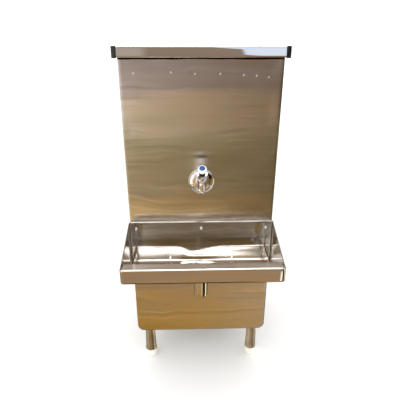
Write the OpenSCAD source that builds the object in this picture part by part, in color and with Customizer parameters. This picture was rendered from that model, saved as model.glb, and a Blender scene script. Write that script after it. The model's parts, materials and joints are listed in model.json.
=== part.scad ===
// Free-standing stainless-steel drinking-water cooler with one push tap and a drip tray.
// Millimetres. Origin on the floor under the middle of the whole footprint, +Z up, front towards -Y.

/* [Cabinet] */
// Width of the cabinet
cab_w = 500; // [494:1:508]
// Depth of the cabinet from front panel to rear panel
cab_d = 480; // [440:5:540]
// Height of the cabinet's underside above the floor
cab_bottom = 152; // [130:1:200]
// Height of the cabinet's rim above the floor
rim_z = 1176; // [1120:1:1300]
// Radius of the cabinet's two bottom corners
corner_r = 26; // [16:1:30]
// Thickness of the casing sheet
sheet = 1; // [0.8:0.1:1.2]
// Height of the shelf that carries the tank
shelf_z = 697; // [660:1:705]

/* [Lid] */
// Overall height of the top of the lid above the floor
total_h = 1200; // [1190:1:1330]
// Height of the lid's skirt
lid_skirt = 30; // [24:1:34]
// How far the lid overhangs the cabinet at each side
lid_side = 11; // [8:1:16]
// How far the lid overhangs the cabinet at the front
lid_front = 22; // [12:1:30]
// How far the lid overhangs the cabinet at the rear
lid_rear = 14; // [10:1:20]

/* [Drip tray] */
// How far the tray stands out from the cabinet
tray_reach = 205; // [180:1:220]
// Overall width of the tray's front band
tray_w = 518; // [514:1:524]
// How much narrower the tray is at the cabinet than at its front
tray_splay = 10; // [0:1:12]
// Height of the tray's back plate above the floor
tray_top = 629; // [610:1:650]
// Height of the tray's basin floor
tray_floor = 472; // [460:1:490]
// Height of the tray's front ledge
ledge_z = 562; // [550:1:575]
// Height of the front band
band_h = 48; // [40:1:54]
// Depth of the front ledge
ledge_d = 41; // [34:1:46]
// Depth of the flat part of the basin floor
basin_d = 98; // [98:1:112]
// Outside diameter of the drain spout
spout_d = 50; // [46:1:54]
// How far the drain spout's axis stands in front of the cabinet
spout_reach = 72; // [66:1:76]
// How far the drain spout's axis stands to the right of the middle
spout_x = -4; // [-10:1:10]
// Height of the drain spout's open end
spout_low = 380; // [360:1:400]

/* [Tap] */
// Height of the tap's inlet above the floor
tap_z = 780; // [775:1:785]
// How far the nozzle stands in front of the cabinet
nozzle_reach = 76; // [74:1:78]
// Forward lean of the push button's axis from upright, in degrees
tap_tilt = 34; // [32:1:36]
// Sideways lean of the nozzle, in degrees
nozzle_lean = 5; // [0:1:6]
// Diameter of the wall flange
flange_d = 86; // [76:1:92]
// Diameter of the push button
button_d = 28; // [27:1:32]

/* [Legs] */
// Distance of each leg's axis from the middle plane
leg_x = 207; // [200:1:212]
// Distance of each leg's axis from the cabinet's front and rear planes
leg_inset = 38; // [34:1:44]
// Leg tube diameter where it meets the cabinet
leg_top_d = 37; // [34:1:40]
// Leg tube diameter at the shoe
leg_bottom_d = 44; // [42:1:44]
// Height of the plastic shoe
shoe_h = 34; // [30:1:38]

/* [Tank] */
// Outside width of the tank
tank_w = 382; // [370:1:384]
// Outside depth of the tank
tank_d = 360; // [350:1:362]
// Height of the tank's underside
tank_z = 752; // [745:1:756]

/* [Hidden] */
$fn = 64;

// ---- overall layout ----
rear_reach = 31;                                   // rear fittings beyond the cabinet
front_y = tray_reach - (tray_reach + cab_d + rear_reach) / 2;
rear_y = front_y + cab_d;
mid_y = (front_y + rear_y) / 2;
half_w = cab_w / 2;
front_return = 20;                                 // depth of the front panel's folded edges
rear_flange = 18;                                  // width of the side panels' rear flange
floor_flange_x = half_w - 62;                      // inner edge of the side panels' floor flange
rim_flange_x = half_w - 16;                        // inner edge of the side panels' top flange
pan_z = cab_bottom + sheet;
pan_t = 1.2;
pan_top = pan_z + pan_t;
deck_t = 1.2;                                      // thickness of the tank's rim flange
fit = 0.05;                                        // radial running clearance

// ---- stainless and other colours ----
steel_brown = [0.62, 0.54, 0.42];
steel_pale = [0.72, 0.68, 0.62];
chrome_c = [0.82, 0.82, 0.80];
white_c = [0.95, 0.94, 0.90];
black_c = [0.06, 0.06, 0.06];
foam_c = [0.90, 0.82, 0.55];
copper_c = [0.72, 0.42, 0.25];
brass_c = [0.75, 0.60, 0.28];

// ---- general helpers ----
function arc(cx, cy, r, a0, a1, n = 8) =
  [for (i = [0:n]) let (a = a0 + (a1 - a0) * i / n) [cx + r * cos(a), cy + r * sin(a)]];

function round_rect(w, d, r, n = 6) = concat(
  arc(w / 2 - r, d / 2 - r, r, 0, 90, n), arc(r - w / 2, d / 2 - r, r, 90, 180, n),
  arc(r - w / 2, r - d / 2, r, 180, 270, n), arc(w / 2 - r, r - d / 2, r, 270, 360, n));

// A profile in X and Z, drawn out along Y from y0 to y1
module along_y(y0, y1) {
  translate([0, y1, 0]) rotate([90, 0, 0]) linear_extrude(y1 - y0) children();
}

// A profile in Y and Z, drawn out along X from x0 to x1
module along_x(x0, x1) {
  translate([x0, 0, 0]) rotate([90, 0, 90]) linear_extrude(x1 - x0) children();
}

module box(x0, x1, y0, y1, z0, z1) {
  translate([x0, y0, z0]) cube([x1 - x0, y1 - y0, z1 - z0]);
}

module rod_y(x, z, y0, y1, r, sides = 64) {
  translate([x, y1, z]) rotate([90, 0, 0]) cylinder(r = r, h = y1 - y0, $fn = sides);
}

module rod_x(y, z, x0, x1, r) {
  translate([x0, y, z]) rotate([0, 90, 0]) cylinder(r = r, h = x1 - x0);
}

module rod(a, b, r) {
  v = b - a;
  len = norm(v);
  translate(a) rotate([0, acos(v[2] / len), atan2(v[1], v[0])]) cylinder(r = r, h = len);
}

// A tube line through a list of points, with a slightly fuller elbow at each turn
module line_run(points, r) {
  elbow = 1.12;
  for (i = [0:len(points) - 2]) rod(points[i], points[i + 1], r);
  for (i = [1:len(points) - 2]) translate(points[i]) sphere(r = r * elbow);
}

// A part of a bent tube, in the plane of the bend
module bend(turn_r, tube_r, angle) {
  rotate_extrude(angle = angle) translate([turn_r, 0]) circle(r = tube_r);
}

module at_legs() {
  for (sx = [-1, 1], y = [front_y + leg_inset, rear_y - leg_inset])
    translate([sx * leg_x, y, 0]) children();
}

// ---- casing ----
// The cabinet seen from the front, drawn in by inset
function face_points(inset) =
  let (w = half_w - inset, r = corner_r - inset, cz = cab_bottom + corner_r)
  concat([[w, rim_z - inset], [-w, rim_z - inset]],
    arc(r - w, cz, r, 180, 270), arc(w - r, cz, r, 270, 360));

module face(inset = 0) polygon(face_points(inset));

tray_screw_z = 604;
tray_screw_x = 229;
tray_low_screw_z = 486;
tray_low_screw_x = 112;
tray_screw_spots = concat(
  [for (x = [-tray_screw_x, 0, tray_screw_x]) [x, tray_screw_z]],
  [for (x = [-tray_low_screw_x, tray_low_screw_x]) [x, tray_low_screw_z]]);
screw_hole_r = 2.5;
screw_r = 2.4;

module tray_screw_holes() {
  for (p = tray_screw_spots) rod_y(p[0], p[1], front_y - 5, front_y + 5, screw_hole_r);
}

shank_r = 10.45;                                   // half-inch pipe thread, outside
shank_hole_r = 10.6;

module front_panel() {
  color(steel_brown) difference() {
    along_y(front_y, front_y + front_return) face();
    along_y(front_y + sheet, front_y + front_return + 1) face(sheet);
    rod_y(0, tap_z, front_y - 5, front_y + 5, shank_hole_r);
    tray_screw_holes();
  }
}

// Louvres in a panel that lies in X and Z at y = 0 and faces +Y
louvre_l = 100;
louvre_h = 6;
louvre_step = 22;
louvre_out = 6;

module louvre_slots(rows, t) {
  for (i = [0:rows - 1])
    translate([-louvre_l / 2, -1, i * louvre_step]) cube([louvre_l, t + 2, louvre_h]);
}

module louvre_hoods(rows, t) {
  for (i = [0:rows - 1])
    translate([-louvre_l / 2, 0, i * louvre_step]) rotate([90, 0, 90]) linear_extrude(louvre_l)
      polygon([[t / 4, louvre_h + 2], [t / 4, louvre_h], [t + louvre_out - 1, 0.6], [t + louvre_out, 0.6]]);
}

side_louvre_z = 250;
side_louvre_rows = 9;
side_louvre_y = [mid_y - 75, mid_y + 75];
rear_screw_x = half_w - rear_flange / 2;
rear_screw_z = [210, 440, 670, 730, 940, 1150];
rear_screw_r = 1.95;

module rear_screw_holes() {
  for (sx = [-1, 1], z = rear_screw_z)
    rod_y(sx * rear_screw_x, z, rear_y - 5, rear_y + 5, rear_screw_r + 0.1);
}

// The right-hand side panel; the left one is its mirror image
module side_panel() {
  difference() {
    union() {
      along_y(front_y + front_return, rear_y) intersection() {
        difference() {
          face();
          face(sheet);
        }
        union() {
          translate([rim_flange_x, cab_bottom - 1]) square([half_w, rim_z]);
          translate([floor_flange_x, cab_bottom - 1]) square([half_w, corner_r]);
        }
      }
      box(half_w - rear_flange, half_w - sheet / 2, rear_y - sheet, rear_y,
        cab_bottom + corner_r, rim_z - sheet / 2);
    }
    for (y = side_louvre_y)
      translate([half_w - sheet, y, side_louvre_z]) rotate([0, 0, -90])
        louvre_slots(side_louvre_rows, sheet);
    at_legs() translate([0, 0, cab_bottom - 2]) cylinder(r = bolt_r + 0.1, h = 5);
    rear_screw_holes();
  }
  for (y = side_louvre_y)
    translate([half_w - sheet, y, side_louvre_z]) rotate([0, 0, -90])
      louvre_hoods(side_louvre_rows, sheet);
}

module side_panel_right() color(steel_brown) side_panel();
module side_panel_left() color(steel_brown) mirror([1, 0, 0]) side_panel();

rear_edge = 6;                                     // gap between the rear panels' edge and the cabinet's
split_z = 700;
inlet_x = 90;
inlet_z = 1130;
drain_x = -90;
drain_z = tank_z + 24;
fan_z = 315;
thermostat_x = 130;
thermostat_z = 600;
cord_x = -190;
cord_z = 240;
cord_bush_r = 7;

module rear_sheet(z0, z1) {
  along_y(rear_y, rear_y + sheet) intersection() {
    face(rear_edge);
    translate([-half_w, z0]) square([cab_w, z1 - z0]);
  }
}

module rear_panel_upper() {
  color(steel_pale) difference() {
    rear_sheet(split_z + 1, rim_z);
    rear_screw_holes();
    rod_y(inlet_x, inlet_z, rear_y - 1, rear_y + 3, shank_hole_r);
    rod_y(drain_x, drain_z, rear_y - 1, rear_y + 3, shank_hole_r);
  }
}

rear_louvre_z = 222;
rear_louvre_rows = 9;
rear_louvre_x = [-62, 62];

module rear_panel_lower() {
  color(steel_pale) difference() {
    rear_sheet(cab_bottom, split_z - 1);
    rear_screw_holes();
    for (x = rear_louvre_x)
      translate([x, rear_y, rear_louvre_z]) louvre_slots(rear_louvre_rows, sheet);
    rod_y(thermostat_x, thermostat_z, rear_y - 1, rear_y + 3, 5);
    rod_y(cord_x, cord_z, rear_y - 1, rear_y + 3, cord_bush_r + fit);
  }
  color(steel_pale) for (x = rear_louvre_x)
    translate([x, rear_y, rear_louvre_z]) louvre_hoods(rear_louvre_rows, sheet);
}

module panel_screws() {
  color(chrome_c) for (sx = [-1, 1], z = rear_screw_z) {
    rod_y(sx * rear_screw_x, z, rear_y - 7, rear_y + sheet + 0.5, rear_screw_r);
    rod_y(sx * rear_screw_x, z, rear_y + sheet, rear_y + sheet + 2.4, 4);
  }
}

// ---- base, frame and legs ----
bolt_r = 4;
bolt_head = 5.3;
bolt_l = 22;
comp_x = -10;
comp_y = 20;
comp_foot_x = 78;
comp_foot_y = 46;
grommet_h = 14;
comp_plate_t = 3;

module at_compressor_feet() {
  for (sx = [-1, 1], sy = [-1, 1])
    translate([comp_x + sx * comp_foot_x, comp_y + sy * comp_foot_y, 0]) children();
}

module base_pan() {
  pan_x = half_w - corner_r - 1;
  wall_h = 20;
  y0 = front_y + front_return + 1;
  y1 = rear_y - 3;
  color(steel_pale) difference() {
    box(-pan_x, pan_x, y0, y1, pan_z, pan_z + wall_h);
    box(pan_t - pan_x, pan_x - pan_t, y0 + pan_t, y1 - pan_t, pan_top, pan_z + wall_h + 1);
    at_legs() translate([0, 0, pan_z - 1]) cylinder(r = bolt_r + 0.1, h = 5);
    at_compressor_feet() translate([0, 0, pan_z - 1]) cylinder(r = bolt_r + 0.1, h = 5);
  }
}

frame_bottom = 180;
post_w = 20;
post_t = 2;
post_x = half_w - 1.5;
post_front = front_y + 12;
post_rear = rear_y - 12;

// One corner post, an L section with its corner at the origin and its legs towards +X and +Y
module post() {
  cube([post_w, post_t, shelf_z - frame_bottom]);
  cube([post_t, post_w, shelf_z - frame_bottom]);
}

module support_frame() {
  rail_h = 20;
  top = shelf_z - rail_h;
  low_rail = 470;
  color(steel_pale) {
    for (sx = [0, 1], sy = [0, 1]) mirror([sx, 0, 0])
      translate([-post_x, sy == 0 ? post_front : post_rear, frame_bottom]) mirror([0, sy, 0]) post();
    for (z = [top, frame_bottom], s = [-1, 1])
      box(s > 0 ? post_x - post_t : -post_x, s > 0 ? post_x : post_t - post_x,
        post_front, post_rear, z, z + rail_h);
    box(-post_x, post_x, post_front, post_front + post_t, top, shelf_z);
    box(-post_x, post_x, post_rear - post_t, post_rear, top, shelf_z);
    box(-post_x, post_x, post_rear - post_t, post_rear, low_rail, low_rail + rail_h);
  }
}

evap_tube_r = 4.5;
evap_gap = 0.5;                                    // between the coil and the tank wall
coil_gap = 10;                                     // space for the coil between tank and foam
coil_y = mid_y + tank_d / 2 + evap_gap + evap_tube_r;
riser_x = 12;
suction_y = coil_y + 13;
bulb_x = 130;
line_clear = 8;                                    // room round each refrigerant line
shelf_t = 1.5;

// Openings through the shelf and the foam floor for the refrigerant lines and the sensor
module line_holes(z0, z1) {
  translate([riser_x, coil_y, z0]) cylinder(r = line_clear, h = z1 - z0);
  translate([-riser_x, suction_y, z0]) cylinder(r = line_clear, h = z1 - z0);
  translate([bulb_x, coil_y, z0]) cylinder(r = 6, h = z1 - z0);
}

module tank_shelf() {
  color(steel_pale) difference() {
    box(-post_x + 0.5, post_x - 0.5, front_y + 1.5, rear_y - 1.5, shelf_z, shelf_z + shelf_t);
    line_holes(shelf_z - 1, shelf_z + 5);
  }
}

leg_foot_z = 14;
leg_cap = 8;                                       // thickness of the leg's top disc
leg_plug = 12;                                     // thickness of the leg's threaded plug
leg_wall = 1.5;
stud_r = 6;

module leg_tubes() {
  h = cab_bottom - leg_foot_z;
  color(steel_brown) at_legs() translate([0, 0, leg_foot_z]) difference() {
    cylinder(r1 = leg_bottom_d / 2, r2 = leg_top_d / 2, h = h);
    translate([0, 0, leg_plug])
      cylinder(r1 = leg_bottom_d / 2 - leg_wall, r2 = leg_top_d / 2 - leg_wall, h = h - leg_plug - leg_cap);
    translate([0, 0, -1]) cylinder(r = stud_r + fit, h = leg_plug + 2);
    translate([0, 0, h - leg_cap - 1]) cylinder(r = bolt_r + fit, h = leg_cap + 2);
  }
}

module hex_bolt() {
  translate([0, 0, -bolt_l]) cylinder(r = bolt_r, h = bolt_l + 1);
  cylinder(r = 7.5, h = bolt_head, $fn = 6);
}

module frame_bolts() {
  color(chrome_c) {
    at_legs() translate([0, 0, pan_top]) hex_bolt();
    at_compressor_feet() translate([0, 0, pan_top + grommet_h + comp_plate_t]) hex_bolt();
  }
}

shoe_r = 24.5;

module foot(sx, y) {
  floor_t = 12;
  round_r = 6;
  cup_r = leg_bottom_d / 2 + 0.3;
  color(white_c) translate([sx * leg_x, y, 0]) {
    rotate_extrude() polygon(concat(
      [[0, 0]], arc(shoe_r - round_r, round_r, round_r, 270, 360, 6),
      [[shoe_r, shoe_h - 1], [shoe_r - 1, shoe_h], [cup_r, shoe_h], [cup_r, floor_t], [0, floor_t]]));
    translate([0, 0, floor_t - 1]) cylinder(r = stud_r, h = 50);
  }
}

module foot_front_left() foot(-1, front_y + leg_inset);
module foot_front_right() foot(1, front_y + leg_inset);
module foot_rear_left() foot(-1, rear_y - leg_inset);
module foot_rear_right() foot(1, rear_y - leg_inset);

// ---- lid ----
cap_lip = 1.5;
lid_top = total_h - cap_lip;
lid_z = lid_top - lid_skirt;
lid_w = cab_w + 2 * lid_side;
lid_d = cab_d + lid_front + lid_rear;
lid_y = (front_y - lid_front + rear_y + lid_rear) / 2;
lid_r = 10;
lid_lip = 8;                                       // skirt's inward return at the bottom
gasket_h = 6;
liner_z = rim_z + deck_t + gasket_h;

module lid_plan(grow) {
  translate([0, lid_y]) polygon(round_rect(lid_w + 2 * grow, lid_d + 2 * grow, lid_r + grow));
}

module lid_shell() {
  color(steel_pale) translate([0, 0, lid_z]) difference() {
    linear_extrude(lid_skirt) lid_plan(0);
    translate([0, 0, sheet]) linear_extrude(lid_skirt - 2 * sheet) lid_plan(-sheet);
    translate([0, 0, -1]) linear_extrude(3) lid_plan(-lid_lip);
  }
}

module lid_insulation() {
  color(foam_c) translate([0, 0, liner_z + sheet])
    linear_extrude(lid_top - sheet - liner_z - sheet) lid_plan(-2.5);
}

module lid_liner() {
  color(steel_pale) translate([0, 0, liner_z]) linear_extrude(sheet) lid_plan(-2);
}

cap_t = 3;                                         // the caps stand this far outside the skirt
cap_leg = 2;

module lid_corner_caps() {
  cx = lid_w / 2 - lid_r;
  cy = lid_d / 2 - lid_r;
  size = lid_r + cap_t + cap_leg;
  color(black_c) for (sx = [-1, 1], sy = [-1, 1]) intersection() {
    difference() {
      translate([0, 0, lid_z - 2]) linear_extrude(total_h - lid_z + 2) lid_plan(cap_t);
      translate([0, 0, lid_z]) linear_extrude(lid_top - lid_z) lid_plan(0);
      translate([0, 0, lid_z - 3]) linear_extrude(total_h) lid_plan(-3);
    }
    translate([sx * (cx + size / 2 - cap_leg), lid_y + sy * (cy + size / 2 - cap_leg), total_h - 50])
      linear_extrude(100) square([size, size], center = true);
  }
}

module lid_gasket() {
  width = 12;
  w = 456;
  d = 432;
  r = 24;
  color(black_c) translate([0, mid_y, rim_z + deck_t]) difference() {
    linear_extrude(gasket_h) polygon(round_rect(w, d, r));
    translate([0, 0, -1]) linear_extrude(gasket_h + 2)
      polygon(round_rect(w - 2 * width, d - 2 * width, r - width));
  }
}

// ---- tank and its fittings ----
tank_t = 1;
tank_r = 20;
tank_front = mid_y - tank_d / 2;
tank_rear = mid_y + tank_d / 2;

module tank() {
  deck_in = 3;
  color(steel_pale) difference() {
    union() {
      translate([0, mid_y, tank_z]) linear_extrude(rim_z + deck_t - tank_z)
        polygon(round_rect(tank_w, tank_d, tank_r));
      box(-half_w + deck_in, half_w - deck_in, front_y + deck_in, rear_y - deck_in, rim_z, rim_z + deck_t);
    }
    translate([0, mid_y, tank_z + tank_t]) linear_extrude(rim_z)
      polygon(round_rect(tank_w - 2 * tank_t, tank_d - 2 * tank_t, tank_r - tank_t));
    rod_y(0, tap_z, tank_front - 5, tank_front + 5, shank_hole_r);
    rod_y(inlet_x, inlet_z, tank_rear - 5, tank_rear + 5, shank_hole_r);
    rod_y(drain_x, drain_z, tank_rear - 5, tank_rear + 5, shank_hole_r);
  }
}

module tank_insulation() {
  y0 = front_y + 1.5;
  y1 = rear_y - 1.5;
  z0 = shelf_z + shelf_t;
  top = rim_z - 6;
  duct_r = 16;
  color(foam_c) difference() {
    box(-half_w + 2.5, half_w - 2.5, y0, y1, z0, top);
    translate([0, mid_y, tank_z]) linear_extrude(rim_z)
      polygon(round_rect(tank_w + 2 * coil_gap, tank_d + 2 * coil_gap, tank_r + coil_gap));
    line_holes(z0 - 1, tank_z + 1);
    box(-riser_x - line_clear, line_clear - riser_x, coil_y, suction_y + line_clear, tank_z - 5,
      coil_z + coil_turns * coil_pitch - 24);
    rod_y(0, tap_z, y0 - 1, tank_front, duct_r);
    rod_y(inlet_x, inlet_z, tank_rear, y1 + 1, duct_r);
    rod_y(drain_x, drain_z, tank_rear, y1 + 1, duct_r);
    for (sx = [-1, 1], z = rear_screw_z) rod_y(sx * rear_screw_x, z, rear_y - 10, y1 + 1, 4);
  }
}

coil_turns = 8;
coil_pitch = 36;
coil_z = 806;
coil_drop = 680;                                   // the coil's two ends come down to this height

// One turn round the tank, open by 2 * riser_x at the rear
module coil_turn() {
  off = evap_gap + evap_tube_r;
  r = tank_r + off;
  hx = tank_w / 2 + off;
  hy = tank_d / 2 + off;
  translate([0, mid_y, 0]) {
    for (s = [-1, 1]) {
      rod([s * riser_x, hy, 0], [s * (hx - r), hy, 0], evap_tube_r);
      rod([s * hx, r - hy, 0], [s * hx, hy - r, 0], evap_tube_r);
    }
    rod([r - hx, -hy, 0], [hx - r, -hy, 0], evap_tube_r);
    for (k = [0:3]) translate([(k == 0 || k == 3 ? 1 : -1) * (hx - r), (k < 2 ? 1 : -1) * (hy - r), 0])
      rotate([0, 0, 90 * k]) bend(r, evap_tube_r, 90);
  }
}

module evaporator_coil() {
  joint_r = evap_tube_r * 1.08;
  top_z = coil_z + (coil_turns - 1) * coil_pitch;
  color(copper_c) {
    for (i = [0:coil_turns - 1]) translate([0, 0, coil_z + i * coil_pitch]) {
      coil_turn();
      for (s = [-1, 1]) translate([s * riser_x, coil_y, 0]) sphere(r = joint_r);
    }
    for (i = [0:coil_turns - 2])
      rod([-riser_x, coil_y, coil_z + i * coil_pitch], [riser_x, coil_y, coil_z + (i + 1) * coil_pitch],
        evap_tube_r);
    rod([riser_x, coil_y, coil_drop], [riser_x, coil_y, coil_z], evap_tube_r);
    rod([-riser_x, coil_y, top_z], [-riser_x, suction_y, top_z], evap_tube_r);
    translate([-riser_x, suction_y, top_z]) sphere(r = joint_r);
    rod([-riser_x, suction_y, coil_drop], [-riser_x, suction_y, top_z], evap_tube_r);
  }
}

inlet_joint_y = tank_rear + 18;
pipe_bore_r = 6;

module inlet_pipe() {
  color(chrome_c) difference() {
    union() {
      rod_y(inlet_x, inlet_z, inlet_joint_y, rear_y + rear_reach, shank_r);
      rod_y(inlet_x, inlet_z, rear_y + sheet, rear_y + sheet + 3, 16, 6);
    }
    rod_y(inlet_x, inlet_z, inlet_joint_y - 1, rear_y + rear_reach + 1, pipe_bore_r);
  }
}

pivot_y = tank_rear - 37;
pivot_z = inlet_z - 18;
pivot_r = 2.5;
plunger_r = 6;
ear_gap = 2.9;                                     // half the gap between the two pivot ears
ear_t = 3;
plunger_seat = tank_rear - 17;

module float_valve_body() {
  barrel_r = 11;
  barrel_end = pivot_y - 16;
  color(brass_c) difference() {
    union() {
      rod_y(inlet_x, inlet_z, barrel_end, tank_rear - 1, barrel_r);
      rod_y(inlet_x, inlet_z, tank_rear - 9, tank_rear - tank_t, 15, 6);
      rod_y(inlet_x, inlet_z, tank_rear - 2, inlet_joint_y, shank_r);
      for (s = [-1, 1])
        box(s > 0 ? inlet_x + ear_gap : inlet_x - ear_gap - ear_t,
          s > 0 ? inlet_x + ear_gap + ear_t : inlet_x - ear_gap,
          pivot_y - 6, pivot_y + 6, pivot_z - 6, inlet_z);
    }
    rod_y(inlet_x, inlet_z, barrel_end - 1, plunger_seat + 0.2, plunger_r + fit);
    rod_y(inlet_x, inlet_z, plunger_seat - 1, inlet_joint_y + 1, 4);
    box(inlet_x - ear_gap, inlet_x + ear_gap, pivot_y - 17, pivot_y + 12, pivot_z - 10, inlet_z);
    rod_x(pivot_y, pivot_z, inlet_x - 10, inlet_x + 10, pivot_r + fit);
  }
}

module float_plunger() {
  slot = 11;
  color(brass_c) difference() {
    rod_y(inlet_x, inlet_z, pivot_y - 12, plunger_seat, plunger_r);
    box(inlet_x - 3, inlet_x + 3, pivot_y - slot / 2, pivot_y + slot / 2,
      inlet_z - plunger_r - 1, inlet_z + 4);
  }
}

module float_pin() {
  color(chrome_c) rod_x(pivot_y, pivot_z, inlet_x - 9, inlet_x + 9, pivot_r);
}

ball_r = 42;
ball_reach = 150;

module float_arm() {
  finger = 2;
  tip_r = 2.5;
  width = 2.6;
  color(brass_c) difference() {
    union() {
      rod_x(pivot_y, pivot_z, inlet_x - width, inlet_x + width, 5);
      box(inlet_x - finger, inlet_x + finger, pivot_y - 2, pivot_y + 2, pivot_z, inlet_z);
      rod_x(pivot_y, inlet_z, inlet_x - finger, inlet_x + finger, tip_r);
      rod_y(inlet_x, pivot_z, pivot_y - ball_reach + ball_r - 6, pivot_y - 4, 2.4);
    }
    rod_x(pivot_y, pivot_z, inlet_x - 10, inlet_x + 10, pivot_r + fit);
  }
}

module float_ball() {
  color(white_c) difference() {
    translate([inlet_x, pivot_y - ball_reach, pivot_z]) sphere(r = ball_r);
    rod_y(inlet_x, pivot_z, pivot_y - ball_reach + ball_r - 6, pivot_y, 2.4);
  }
}

// Hexagonal nuts on the tank wall: float valve outside, drain outside, tap shank inside
module tank_locknuts() {
  nut_t = 7;
  color(brass_c) {
    difference() {
      rod_y(inlet_x, inlet_z, tank_rear, tank_rear + nut_t, 15, 6);
      rod_y(inlet_x, inlet_z, tank_rear - 1, tank_rear + nut_t + 1, shank_r + fit);
    }
    difference() {
      rod_y(drain_x, drain_z, tank_rear, tank_rear + nut_t, 15, 6);
      rod_y(drain_x, drain_z, tank_rear - 1, tank_rear + nut_t + 1, shank_r + fit);
    }
    difference() {
      rod_y(0, tap_z, tank_front + tank_t, tank_front + tank_t + nut_t, 15, 6);
      rod_y(0, tap_z, tank_front, tank_front + nut_t + 2, shank_r + fit);
    }
  }
}

module tank_drain_pipe() {
  out = rear_y + 20;
  color(chrome_c) difference() {
    union() {
      rod_y(drain_x, drain_z, tank_rear - 8, out, shank_r);
      rod_y(drain_x, drain_z, tank_rear - 8, tank_rear - tank_t, 14);
    }
    rod_y(drain_x, drain_z, tank_rear - 9, out + 1, pipe_bore_r);
  }
}

module tank_drain_plug() {
  out = rear_y + 20;
  color(chrome_c) difference() {
    union() {
      rod_y(drain_x, drain_z, rear_y + 6, out + 2, 14);
      rod_y(drain_x, drain_z, out + 2, out + 8, 9, 6);
    }
    rod_y(drain_x, drain_z, rear_y + 5, out, shank_r + fit);
  }
}

// ---- tap ----
// Places its children with +Z along the push button's axis and the origin in the lower chamber
tap_root = 42;
tap_lift = 3;
module on_tap_axis() {
  translate([0, front_y - tap_root, tap_z + tap_lift]) rotate([tap_tilt, 0, 0]) children();
}

arm_r = 11;
seat_t = 18;                                       // where the valve seat lies along the axis
spigot_r = 11;
spindle_r = 3;
body_top = 40;
hex_top = 58;
neck_top = 74;
neck_r = 11.5;
button_low = 70;
button_top = 84;
index_r = 9.4;
button_inner = 81;

module tap_flange() {
  h = 15;
  rim = 3;
  dome = [for (i = [0:10]) let (u = i / 10)
    [arm_r + fit + 2 + (flange_d / 2 - arm_r - fit - 2) * u, rim + (h - rim) * (1 - u) * (1 - u * u)]];
  color(chrome_c) translate([0, front_y, tap_z]) rotate([90, 0, 0]) rotate_extrude() polygon(concat(
    [[arm_r + fit, 0], [arm_r + fit, h]], dome, [[flange_d / 2, 0]]));
}

module tap_body() {
  nozzle_top = 794;
  nozzle_l = 28;
  outlet_t = 26;
  nozzle_y = front_y - nozzle_reach;
  color(chrome_c) difference() {
    union() {
      rod_y(0, tap_z, front_y, tank_front + 20, shank_r);
      rod_y(0, tap_z, front_y - tap_root, front_y, arm_r);
      on_tap_axis() {
        translate([0, 0, -8]) cylinder(r = 16, h = body_top + 8);
        translate([0, 0, -13]) cylinder(r1 = 11, r2 = 16, h = 5);
      }
      translate([0, nozzle_y, nozzle_top]) {
        rotate([0, -nozzle_lean, 0]) translate([0, 0, -nozzle_l]) cylinder(r1 = 7, r2 = 9, h = nozzle_l);
        sphere(r = 9.4);
      }
    }
    rod_y(0, tap_z, front_y - tap_root, tank_front + 21, pipe_bore_r);
    on_tap_axis() {
      translate([0, 0, -5]) cylinder(r = 9, h = seat_t + 5);
      translate([0, 0, seat_t - 1]) cylinder(r = 5, h = 6);
      translate([0, 0, seat_t + 4]) cylinder(r = 9, h = 10);
      translate([0, 0, 30]) cylinder(r = spigot_r + fit, h = body_top - 29);
    }
    translate([0, nozzle_y, nozzle_top]) rotate([0, -nozzle_lean, 0])
      translate([0, 0, -nozzle_l - 1]) cylinder(r = 4.5, h = nozzle_l + 1);
    rod([0, front_y - tap_root - outlet_t * sin(tap_tilt), tap_z + tap_lift + outlet_t * cos(tap_tilt)],
      [0, nozzle_y, nozzle_top - 3], 4);
  }
}

module tap_bonnet() {
  color(chrome_c) on_tap_axis() difference() {
    union() {
      translate([0, 0, 31]) cylinder(r = spigot_r, h = body_top - 30);
      translate([0, 0, body_top]) rotate([0, 0, 30]) cylinder(r = 17.5, h = hex_top - body_top, $fn = 6);
      translate([0, 0, hex_top - 1]) cylinder(r = neck_r, h = neck_top - hex_top + 1);
    }
    translate([0, 0, 30]) cylinder(r = spindle_r + fit, h = neck_top);
    translate([0, 0, spring_low]) cylinder(r = 8, h = neck_top);
  }
}

module tap_button() {
  r = button_d / 2;
  edge = 4;
  dish = 1.5;
  color(white_c) on_tap_axis() rotate_extrude() polygon(concat(
    [[0, button_inner], [neck_r + 0.7, button_inner], [neck_r + 0.7, button_low], [r, button_low]],
    arc(r - edge, button_top - edge, edge, 0, 90, 6),
    [[index_r + 0.1, button_top], [index_r + 0.1, button_top - dish], [0, button_top - dish]]));
}

module tap_index() {
  edge = button_top - 0.3;
  crown = 1.3;
  steps = 6;
  color([0.10, 0.30, 0.65]) on_tap_axis() rotate_extrude() polygon(concat(
    [[0, button_top - 1.5], [index_r, button_top - 1.5]],
    [for (i = [0:steps]) let (t = 1 - i / steps) [index_r * t, edge + crown * (1 - t * t)]]));
}

module tap_spindle() {
  color(chrome_c) on_tap_axis() {
    translate([0, 0, 12]) cylinder(r = spindle_r, h = button_inner - 12);
    translate([0, 0, 11]) cylinder(r = 4.5, h = seat_t - 4.1 - 11);
  }
}

module tap_seat_washer() {
  color(black_c) on_tap_axis() difference() {
    translate([0, 0, seat_t - 4.1]) cylinder(r = 8, h = 4);
    translate([0, 0, seat_t - 6]) cylinder(r = spindle_r, h = 8);
  }
}

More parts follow.
